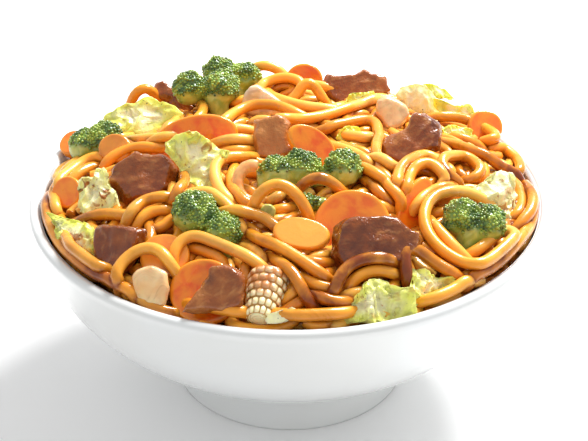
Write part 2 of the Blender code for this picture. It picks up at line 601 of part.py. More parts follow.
def make_baby_corn(material, collection):
    """A cob cut across: widest at its cut, rounded in to its tip."""
    place, facing, length, tip, cut = BABY_CORN
    profile = [(0.0, length / 2), (tip * 0.8, length / 2 - CORN_ROUND / 7),
               (tip, length / 2 - CORN_ROUND)]
    for index in range(1, CORN_STEPS + 1):
        along = index / CORN_STEPS
        profile.append((tip + (cut - tip) * math.sin(along * math.pi / 2),
                        length / 2 - CORN_ROUND - (length - CORN_ROUND - 1.0) * along))
    profile += [(cut * 0.85, -length / 2), (0.0, -length / 2)]
    corn = turned("baby_corn", profile, material, collection)
    corn.modifiers["turn"].steps = CORN_SIDES
    corn.modifiers["turn"].render_steps = CORN_SIDES
    corn.matrix_world = facing_matrix(place, facing)
    return corn


def main():
    clear_scene()
    dish = new_collection("yakisoba")
    cutters = new_collection("joined_heads")
    materials = make_materials()
    pieces = []
    for name, place, facing, heads, stem in FLORETS:
        pieces.append(make_floret(name, place, facing, heads, stem, materials["broccoli"],
                                  dish, cutters))
    for name, place, facing, length, radius in STEMS:
        pieces.append(make_cut_stem(name, place, facing, length, radius,
                                    materials["broccoli"], dish))
    for name, place, facing, radius, thickness, tall in CARROTS:
        pieces.append(make_slice(name, place, facing, radius, thickness, tall,
                                 materials["carrot"], dish))
    noise.seed_set(NOISE_SEED)
    for name, place, facing, thickness, bend, seed, kind in LUMPS:
        pieces.append(make_lump(name, place, facing, thickness, bend, seed, materials[kind], dish))
    for name, place, facing, depth, folds, seed in LEAVES:
        pieces.append(make_leaf(name, place, facing, depth, folds, seed, materials["cabbage"],
                                dish))
    pieces.append(make_onion_strip(materials["mushroom"], dish))
    pieces.append(make_baby_corn(materials["corn"], dish))
    bpy.context.view_layer.update()
    make_bowl(materials["porcelain"], dish)
    make_heap(materials["noodle"], dish, pieces)


main()
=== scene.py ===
"""Yakisoba in its bowl: the looks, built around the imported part.

Metres and +Z up, as in the frame. Tables and heights of the noodles are in millimetres, from the
middle of the bowl's foot.
"""

import math

import bmesh
import bpy
import numpy as np
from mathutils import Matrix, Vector, noise
from mathutils.bvhtree import BVHTree
from mathutils.geometry import interpolate_bezier
from mathutils.kdtree import KDTree


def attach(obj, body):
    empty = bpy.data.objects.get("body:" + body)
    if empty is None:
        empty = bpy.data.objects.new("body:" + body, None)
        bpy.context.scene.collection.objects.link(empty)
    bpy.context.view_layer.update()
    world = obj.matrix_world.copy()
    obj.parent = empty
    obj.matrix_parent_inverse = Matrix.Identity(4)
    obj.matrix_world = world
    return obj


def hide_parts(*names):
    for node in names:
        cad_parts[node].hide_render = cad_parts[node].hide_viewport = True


bl_info = {
    "name": "Yakisoba bowl",
    "version": (1, 0, 0),
    "blender": (4, 5, 0),
    "location": "View3D > Sidebar > Yakisoba",
    "description": "Builds a bowl of yakisoba around its packed solids",
    "category": "Object",
}

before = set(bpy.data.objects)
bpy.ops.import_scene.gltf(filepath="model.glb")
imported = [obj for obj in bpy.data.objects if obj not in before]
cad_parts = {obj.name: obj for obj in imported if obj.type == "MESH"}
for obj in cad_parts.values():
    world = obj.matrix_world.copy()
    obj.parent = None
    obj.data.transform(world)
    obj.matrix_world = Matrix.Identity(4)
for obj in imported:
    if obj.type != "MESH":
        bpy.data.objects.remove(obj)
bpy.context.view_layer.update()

MM = 0.001
SHOWN_SIDE = (0.0, -0.5, 1.0)   # roughly where pieces are seen from, to tell face from back

# The bowl, in millimetres
RIM_RADIUS = 100.0
BOWL_HEIGHT = 82.0
WALL = 4.5
WALL_SLOPE_AT_FOOT = 34.0
WALL_SLOPE_AT_RIM = 75.0
WALL_REACH_FOOT = 62.0
WALL_REACH_RIM = 25.0
FOOT_TOP_RADIUS = 45.0
FOOT_RADIUS = 46.5
FOOT_HEIGHT = 13.0
FOOT_RING = 5.5
FOOT_ROUND = 0.8
RECESS = 4.0
FLOOR_HEIGHT = 11.5
WALL_POINTS = 28
LIP_POINTS = 9
FLOOR_POINTS = 8
GLAZE_WARMTH = (0.985, 0.975, 0.96)     # by how much the glaze darkens where it is warmer

# The heap's mean surface, in millimetres
HEAP_EDGE_HEIGHT = 79.0
HEAP_CROWN = 18.0
HEAP_FALL = 3.0
HEAP_RADIUS = 95.0

# The core under the noodles
CORE_DROP = 9.0                 # how far its top lies under the heap's surface
CORE_TOP_FROM = 45.0            # height from which it starts to sink
CORE_CLEAR = 1.0                # from the bowl's inside

# How noodles are laid, in millimetres
STEP = 1.5                      # between the points of a noodle
BRIDGE_PASSES = 14              # more passes: stiffer noodles
DIVE_DEPTH = 7.0                # how far an end sinks between its neighbours
DIVE_LENGTH = 10.0
TOP_HEIGHT = 3.0                # a top noodle's middle over the heap's surface
STACK_REACH = 9.0               # noodles further apart than this in depth don't meet
STACK_CLOSE = 0.75              # how much of a noodle's thickness a crossing takes
STACK_LIMIT = 6.0
CONTACT_REACH = 1.55            # in noodle radii: sauce gathers, and shade is painted, where noodles lie this close
WALL_GAP = 0.3
TUCK_REACH = 16.0               # how far in front of a noodle a piece may lie and still hide it
TUCK_PASSES = 5
LOOK_AHEAD = 60.0               # from where a noodle that lies over pieces looks for them
LOOK_REACH = 75.0
OVER_LIMIT = 9.0                # how much more such a noodle may rise

# How noodles that touch are settled
SETTLE_ROUNDS = 14
SETTLE_PUSH = 0.25              # of an overlap, for each noodle and round
SETTLE_SMOOTH = 0.35
SETTLE_HOME = 0.12              # how strongly a noodle is drawn back to its route
OWN_REACH = 6                   # points of one noodle nearer than this don't push each other

# Slow changes along a noodle: how large, over what length in millimetres, and how far the next
# noodle's change lags behind
TONE_WAVE = (0.18, 13.0, 1.0)
SAUCE_WAVE = (0.22, 9.0, 2.3)
THICKNESS_WAVE = (0.06, 9.0, 1.7)
THICKNESS_SPREAD = 0.05         # from noodle to noodle

# How a noodle underneath wanders, in millimetres
WANDER_LENGTHS = (90, 240)
FIRST_CURL = (11, 30)           # between which radii it curls
NEXT_CURLS = (11, 34)
CURL_LENGTH = 55                # mean length of a curl
CURL_EASE = 0.10                # how fast one curl passes into the next
CURL_DRIFT = 0.004
TURN_BACK = 80.0                # radius of the heap from which it curls back
TURN_BACK_CURL = 9
TIGHTEST_CURL = 6.5
LAST_RADIUS = 92.0

# The noodles underneath, in millimetres
UNDER_TRIES = 8                 # routes tried for each; the one over the emptiest ground is kept
UNDER_START = 90.0              # radius within which they start
COVER_CELL = 5                  # side of the cells in which covered ground is counted
COVER_CELLS = 42
LOWER_LAYER = (-6.0, 1.5)       # level to the heap's surface, and how far it waves
UPPER_LAYER = (-1.8, 1.5)
LAYER_PINS = (0.0, 0.1, 1.0)    # how firmly the lower, the upper and the top noodles are held
LAYER_LIMITS = (-3.0, 1.0, 0.0)     # how far over the heap's surface they may rise

# The stage, in metres
KEY_PLACE = (0.33, 0.50, 0.78)
KEY_AIM = (0.0, 0.0, 0.08)
KEY_SIZE = 0.42
FLOOR_HALF = 4


# ------------------------------------------------------------------ settings

class BowlSettings(bpy.types.PropertyGroup):
    colour: bpy.props.FloatVectorProperty(
        name="Glaze", description="Colour of the porcelain", subtype="COLOR", size=3,
        min=0.0, max=1.0, default=(0.755, 0.775, 0.775))
    steps: bpy.props.IntProperty(
        name="Steps", description="Steps round the bowl", default=160, min=24, max=256)


class NoodleSettings(bpy.types.PropertyGroup):
    radius: bpy.props.FloatProperty(
        name="Radius", description="Half the thickness of a noodle", default=0.0022,
        min=0.001, max=0.004, unit="LENGTH")
    sides_under: bpy.props.IntProperty(
        name="Sides underneath", description="Faces round a noodle that lies under the top ones",
        default=8, min=6, max=24)
    sides: bpy.props.IntProperty(
        name="Sides", description="Sides of a noodle's section", default=10, min=6, max=16)
    under: bpy.props.IntProperty(
        name="Strands underneath", description="Strands that fill the heap under the top ones",
        default=120, min=0, max=300)
    seed: bpy.props.IntProperty(
        name="Seed", description="Changes how the strands underneath wander", default=7, min=0)
    pale: bpy.props.FloatVectorProperty(
        name="Pale", description="Colour of the palest noodles", subtype="COLOR", size=3,
        min=0.0, max=1.0, default=(0.95, 0.54, 0.10))
    golden: bpy.props.FloatVectorProperty(
        name="Golden", description="Colour of most noodles", subtype="COLOR", size=3,
        min=0.0, max=1.0, default=(0.94, 0.39, 0.028))
    brown: bpy.props.FloatVectorProperty(
        name="Brown", description="Colour of noodles soaked in sauce", subtype="COLOR", size=3,
        min=0.0, max=1.0, default=(0.80, 0.25, 0.012))


class ToppingSettings(bpy.types.PropertyGroup):
    detail: bpy.props.FloatProperty(
        name="Detail", description="Size of the facets that the toppings are made of",
        default=0.0006, min=0.0003, max=0.003, unit="LENGTH")
    carrot: bpy.props.FloatVectorProperty(
        name="Carrot", description="Colour of the carrot slices", subtype="COLOR", size=3,
        min=0.0, max=1.0, default=(0.84, 0.105, 0.001))
    meat: bpy.props.FloatVectorProperty(
        name="Meat", description="Colour of the meat where it is cut", subtype="COLOR", size=3,
        min=0.0, max=1.0, default=(0.28, 0.065, 0.004))
    bud: bpy.props.FloatProperty(
        name="Bud", description="Radius of a broccoli bud", default=0.00062, min=0.0003,
        max=0.002, unit="LENGTH")
    sauce: bpy.props.FloatVectorProperty(
        name="Sauce", description="Colour of the sauce", subtype="COLOR", size=3,
        min=0.0, max=1.0, default=(0.20, 0.036, 0.003))


class StageSettings(bpy.types.PropertyGroup):
    pitch: bpy.props.FloatProperty(
        name="Pitch", description="How far the camera looks down", default=math.radians(30.13),
        subtype="ANGLE")
    distance: bpy.props.FloatProperty(
        name="Distance", description="From the camera to what it looks at", default=0.560,
        min=0.1, unit="LENGTH")
    aim: bpy.props.FloatProperty(
        name="Aim", description="Height of the point that the camera looks at", default=0.0671,
        unit="LENGTH")
    lens: bpy.props.FloatProperty(
        name="Lens", description="Focal length in millimetres", default=87.57, min=10.0)
    shift: bpy.props.FloatProperty(
        name="Shift", description="Sideways shift of the picture", default=0.0068027)
    key: bpy.props.FloatProperty(
        name="Key light", description="Power of the large light above and behind", default=17.6,
        min=0.0, unit="POWER")
    fill: bpy.props.FloatProperty(
        name="Surroundings", description="Brightness of the white surroundings", default=0.74,
        min=0.0)


SETTINGS = (
    ("yakisoba_bowl", BowlSettings),
    ("yakisoba_noodles", NoodleSettings),
    ("yakisoba_toppings", ToppingSettings),
    ("yakisoba_stage", StageSettings),
)


# ------------------------------------------------------------------ shared shader groups

def link(tree, start, end):
    tree.links.new(start, end)


def fill(tree, socket, value):
    """Links a socket to another one, or gives it a plain value."""
    if isinstance(value, bpy.types.NodeSocket):
        link(tree, value, socket)
    elif socket.type == "RGBA":
        socket.default_value = (*tuple(value)[:3], 1.0)
    else:
        socket.default_value = value


def add_node(tree, kind, inputs=None, **settings):
    """A node with its settings and its inputs, which are sockets or plain values."""
    made = tree.nodes.new(kind)
    for name, value in settings.items():
        setattr(made, name, value)
    for name, value in (inputs or {}).items():
        fill(tree, made.inputs[name], value)
    return made


def math_node(tree, operation, first, second, clamp=False):
    return add_node(tree, "ShaderNodeMath", {0: first, 1: second}, operation=operation,
                    use_clamp=clamp).outputs[0]


def times(tree, first, second, clamp=False):
    return math_node(tree, "MULTIPLY", first, second, clamp)


def mix_colour(tree, factor, first, second):
    return add_node(tree, "ShaderNodeMix", {0: factor, 6: first, 7: second},
                    data_type="RGBA").outputs[2]


def mix_value(tree, factor, first, second):
    return add_node(tree, "ShaderNodeMix", {0: factor, 2: first, 3: second},
                    data_type="FLOAT").outputs[0]


def span(tree, value, low, high):
    """Maps low..high smoothly onto 0..1."""
    return add_node(tree, "ShaderNodeMapRange", {
        "Value": value, "From Min": low, "From Max": high},
        interpolation_type="SMOOTHSTEP").outputs["Result"]


def attribute(tree, name):
    return add_node(tree, "ShaderNodeAttribute", attribute_name=name).outputs["Fac"]


def new_group(name, inputs, outputs):
    """A shader group with its inputs' defaults, the inputs to read and the outputs to fill."""
    group = bpy.data.node_groups.new(name, "ShaderNodeTree")
    for label, default in inputs:
        colour = isinstance(default, tuple)
        socket = group.interface.new_socket(
            label, in_out="INPUT", socket_type="NodeSocketColor" if colour else "NodeSocketFloat")
        socket.default_value = (*default, 1.0) if colour else default
    for label, kind in outputs:
        group.interface.new_socket(label, in_out="OUTPUT", socket_type="NodeSocket" + kind)
    return (group, group.nodes.new("NodeGroupInput").outputs,
            group.nodes.new("NodeGroupOutput").inputs)


def object_noise(group, size, detail, bend):
    """Noise of a given size that is fixed to the object."""
    place = add_node(group, "ShaderNodeTexCoord").outputs["Object"]
    return add_node(group, "ShaderNodeTexNoise", {
        "Vector": place, "Scale": math_node(group, "DIVIDE", 1.0, size), "Detail": detail,
        "Distortion": bend}).outputs["Fac"]


def patch_group():
    """Soft patches of noise of a given size, as a mask between two thresholds."""
    group, source, result = new_group(
        "soft_patches",
        (("Size", 0.01), ("Low", 0.4), ("High", 0.6), ("Detail", 3.0), ("Bend", 0.6)),
        (("Mask", "Float"), ("Noise", "Float")))
    grain = object_noise(group, source["Size"], source["Detail"], source["Bend"])
    link(group, span(group, grain, source["Low"], source["High"]), result["Mask"])
    link(group, grain, result["Noise"])
    return group


def sauce_group(colour):
    """Brown sauce over a colour: the colour that shows, and how rough it is."""
    group, source, result = new_group(
        "sauce_film",
        (("Base", (0.8, 0.4, 0.1)), ("Sauce", colour), ("Amount", 0.3), ("Size", 0.012),
         ("Dry", 0.35), ("Wet", 0.12)),
        (("Colour", "Color"), ("Roughness", "Float")))
    level = math_node(group, "ADD", object_noise(group, source["Size"], 4.0, 1.0),
                      source["Amount"])
    thick = span(group, level, 1.02, 1.36)
    thin = span(group, level, 0.60, 1.08)
    tinted = mix_colour(group, 0.42, source["Base"], source["Sauce"])
    film = mix_colour(group, thin, source["Base"], tinted)
    link(group, mix_colour(group, thick, film, source["Sauce"]), result["Colour"])
    link(group, mix_value(group, thin, source["Dry"], source["Wet"]), result["Roughness"])
    return group


def new_material(name, **sockets):
    """A material whose Principled shader has the given plain socket values."""
    material = bpy.data.materials.new(name)
    material.use_nodes = True
    tree = material.node_tree
    surface = tree.nodes["Principled BSDF"]
    for label, value in sockets.items():
        surface.inputs[label.replace("_", " ")].default_value = value
    return material, tree, surface


def use_group(tree, group, inputs):
    return add_node(tree, "ShaderNodeGroup", inputs, node_tree=group).outputs


def bump(tree, surface, height, distance, strength=1.0):
    made = add_node(tree, "ShaderNodeBump", {
        "Height": height, "Distance": distance, "Strength": strength})
    link(tree, made.outputs["Normal"], surface.inputs["Normal"])


def patches(tree, size, low=0.3, high=0.7, **more):
    """Noise on a surface: its Mask between two levels, and the Noise itself."""
    group = bpy.data.node_groups.get("soft_patches") or patch_group()
    return use_group(tree, group, {"Size": size, "Low": low, "High": high, **more})


def film_over(tree, base, amount, size, dry, wet):
    """The colour and the roughness of sauce over a base colour."""
    colour = tuple(bpy.context.scene.yakisoba_toppings.sauce)
    group = bpy.data.node_groups.get("sauce_film") or sauce_group(colour)
    film = use_group(tree, group, {
        "Base": base, "Amount": amount, "Size": size, "Dry": dry, "Wet": wet})
    return film["Colour"], film["Roughness"]


def paint(tree, surface, colour, roughness=None):
    """Gives a surface its colour and, where it varies, its roughness."""
    link(tree, colour, surface.inputs["Base Color"])
    if roughness:
        link(tree, roughness, surface.inputs["Roughness"])


def fine_grain(tree, surface, size, height, strength, bend=0.6):
    """Roughens a surface with noise of a given size."""
    bump(tree, surface, patches(tree, size, Bend=bend)["Noise"], height, strength)


# ------------------------------------------------------------------ meshes

def mesh_from(name, points, faces):
    data = bpy.data.meshes.new(name)
    data.from_pydata([tuple(point) for point in points], [], faces)
    data.update()
    return data


def kept(mesh, name):
    """A bmesh turned into mesh data."""
    data = bpy.data.meshes.new(name)
    mesh.to_mesh(data)
    mesh.free()
    return data


def held(data, name):
    """An object in the scene that holds some data."""
    holder = bpy.data.objects.new(name, data)
    bpy.context.scene.collection.objects.link(holder)
    return holder


def add_piece(name, data, material, nodes=()):
    """A finished piece: smooth, in its material, riding on the body and standing for nodes."""
    piece = held(data, name)
    data.materials.clear()
    data.materials.append(material)
    data.shade_smooth()
    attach(piece, "root")
    if nodes:
        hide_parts(*nodes)
    return piece


def solid(node):
    """A CAD node's mesh, in metres."""
    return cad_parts[node].data


def welded(node):
    """A CAD node's corners and triangles with its doubles merged, as a bmesh."""
    source = solid(node)
    mesh = bmesh.new()
    corners = [mesh.verts.new(vertex.co) for vertex in source.vertices]
    for face in source.polygons:
        mesh.faces.new([corners[index] for index in face.vertices])
    bmesh.ops.remove_doubles(mesh, verts=mesh.verts, dist=0.00001)
    bmesh.ops.recalc_face_normals(mesh, faces=mesh.faces)
    return mesh


def evaluated(holder):
    """The holder's mesh after its modifiers; the holder and its own mesh are removed."""
    graph = bpy.context.evaluated_depsgraph_get()
    made = bpy.data.meshes.new_from_object(holder.evaluated_get(graph))
    own = holder.data
    bpy.data.objects.remove(holder, do_unlink=True)
    bpy.data.meshes.remove(own)
    return made


def finely_meshed(node, passes):
    """A CAD node in even small facets with worn edges, its points in millimetres, its seed."""
    holder = held(kept(welded(node), node + "_shape"), node + "_shape")
    remesh = holder.modifiers.new("cells", "REMESH")
    remesh.mode = "VOXEL"
    remesh.voxel_size = bpy.context.scene.yakisoba_toppings.detail
    worn = holder.modifiers.new("worn", "SMOOTH")
    worn.factor = 0.5
    worn.iterations = passes
    made = evaluated(holder)
    return made, points_of(made) / MM, seed_of(node)


def points_of(data, kind="co"):
    """A row of three numbers for each corner: its place, or its normal."""
    flat = np.empty(len(data.vertices) * 3)
    data.vertices.foreach_get(kind, flat)
    return flat.reshape(-1, 3)


def push_out(data, points, rise):
    """Moves corners, given in millimetres, along their normals by their own rises."""
    moved = (points + points_of(data, "normal") * rise[:, None]) * MM
    data.vertices.foreach_set("co", np.asarray(moved, np.float32).ravel())
    data.update()


def set_attributes(data, **columns):
    """Stores named numbers for the corners; a single number stands for all of them."""
    for name, values in columns.items():
        made = data.attributes.new(name, "FLOAT", "POINT")
        made.data.foreach_set("value", np.full(len(data.vertices), values, np.float32))


def own_axes(node):
    """A node's middle, its three axes from longest to shortest, and its half sizes along them.

    The middle and the sizes are in millimetres.
    """
    points = points_of(solid(node))
    middle = (points.min(axis=0) + points.max(axis=0)) / 2
    axes = np.linalg.svd(points - points.mean(axis=0), full_matrices=False)[2]
    if axes[2] @ SHOWN_SIDE < 0:
        axes[2] = -axes[2]
    local = (points - middle) @ axes.T
    middle = middle + ((local.min(axis=0) + local.max(axis=0)) / 2) @ axes
    return middle / MM, axes, (local.max(axis=0) - local.min(axis=0)) / 2 / MM


def noise_at(points, size, seed, octaves=1):
    """Smooth noise of a given grain at each point, about -1 to 1."""
    total = np.zeros(len(points))
    for octave in range(octaves):
        scaled = points * (2 ** octave / size) + (seed * 3.1, seed * 1.7, seed * 0.9)
        total += np.array([noise.noise(Vector(point)) for point in scaled]) / 2 ** octave
    return total


def unit_ring(columns):
    """Angles round a circle, and its points at them, for a radius of 1."""
    angle = np.arange(columns) * math.tau / columns
    return angle, np.column_stack([np.cos(angle), np.sin(angle)])


def nodes_named(start):
    return sorted(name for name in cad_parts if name.startswith(start))


def seed_of(name):
    return sum(ord(letter) * (place + 1) for place, letter in enumerate(name)) % 97


# ------------------------------------------------------------------ the bowl's outline

def outer_wall(points):
    low = Vector((FOOT_TOP_RADIUS, FOOT_HEIGHT, 0.0))
    high = Vector((RIM_RADIUS, BOWL_HEIGHT - WALL / 2, 0.0))
    leave = math.radians(WALL_SLOPE_AT_FOOT)
    arrive = math.radians(WALL_SLOPE_AT_RIM)
    low_handle = low + WALL_REACH_FOOT * Vector((math.cos(leave), math.sin(leave), 0.0))
    high_handle = high - WALL_REACH_RIM * Vector((math.cos(arrive), math.sin(arrive), 0.0))
    curve = interpolate_bezier(low, low_handle, high_handle, high, points)
    return [(point.x, point.y) for point in curve]


def offset_inwards(outline, distance):
    moved = []
    for index, (radius, height) in enumerate(outline):
        before = outline[max(index - 1, 0)]
        after = outline[min(index + 1, len(outline) - 1)]
        run, rise = after[0] - before[0], after[1] - before[1]
        length = math.hypot(run, rise)
        moved.append((radius - distance * rise / length, height + distance * run / length))
    return moved


INNER_WALL = np.array(offset_inwards(outer_wall(WALL_POINTS), WALL))


def inside_radius(height):
    """The bowl's inside radius at a height, straight up over its rim."""
    return np.interp(height, INNER_WALL[:, 1], INNER_WALL[:, 0])


def heap_surface(x, y):
    share = np.minimum(np.hypot(x, y) / HEAP_RADIUS, 1.0)
    return HEAP_EDGE_HEIGHT + HEAP_CROWN * (1 - share ** HEAP_FALL)


def bowl_profile():
    inner = [tuple(point) for point in INNER_WALL]
    slope = math.tan(math.radians(WALL_SLOPE_AT_FOOT))
    run = (inner[0][1] - FLOOR_HEIGHT) / slope
    start = Vector((*inner[0], 0.0))
    first_handle = Vector((inner[0][0] - run, FLOOR_HEIGHT, 0.0))
    last_handle = Vector((first_handle.x / 2, FLOOR_HEIGHT, 0.0))
    floor = interpolate_bezier(start, first_handle, last_handle,
                               Vector((0.0, FLOOR_HEIGHT, 0.0)), FLOOR_POINTS)
    lip_middle = RIM_RADIUS - WALL / 2
    lip = []
    for index in range(1, LIP_POINTS):
        angle = math.pi * (1 - index / LIP_POINTS)
        lip.append((lip_middle + WALL / 2 * math.cos(angle),
                    BOWL_HEIGHT - WALL / 2 + WALL / 2 * math.sin(angle)))
    foot = [
        (FOOT_TOP_RADIUS + 0.2, FOOT_HEIGHT - 1.5),
        (FOOT_RADIUS, FOOT_ROUND + 0.6),
        (FOOT_RADIUS - 0.2, FOOT_ROUND * 0.35),
        (FOOT_RADIUS - FOOT_ROUND, 0.0),
        (FOOT_RADIUS - FOOT_RING + FOOT_ROUND, 0.0),
        (FOOT_RADIUS - FOOT_RING, FOOT_ROUND),
        (FOOT_RADIUS - FOOT_RING - FOOT_ROUND, RECESS),
        (0.0, RECESS),
    ]
    floor_points = [(point.x, point.y) for point in reversed(floor[1:])]
    return floor_points + inner + lip + list(reversed(outer_wall(WALL_POINTS))) + foot


def turned(name, profile, steps):
    """A closed turned body from a profile in millimetres that runs from axis to axis."""
    mesh = bmesh.new()
    ring = [mesh.verts.new((radius * MM, 0.0, height * MM)) for radius, height in profile]
    for start, end in zip(ring, ring[1:]):
        mesh.edges.new((start, end))
    bmesh.ops.spin(mesh, geom=mesh.verts[:] + mesh.edges[:], angle=math.tau, steps=steps,
                   axis=(0, 0, 1), cent=(0, 0, 0), use_merge=True)
    bmesh.ops.remove_doubles(mesh, verts=mesh.verts, dist=0.000001)
    bmesh.ops.recalc_face_normals(mesh, faces=mesh.faces)
    return kept(mesh, name)


def porcelain_material():
    material, tree, surface = new_material("porcelain", Roughness=0.16, Coat_Weight=0.5,
                                           Coat_Roughness=0.06)
    colour = tuple(bpy.context.scene.yakisoba_bowl.colour)
    warm = tuple(channel * factor for channel, factor in zip(colour, GLAZE_WARMTH))
    paint(tree, surface, mix_colour(tree, patches(tree, 0.05)["Mask"], colour, warm))
    fine_grain(tree, surface, 0.03, 0.0002, 0.15, bend=0.0)
    return material


# ------------------------------------------------------------------ laying the noodles

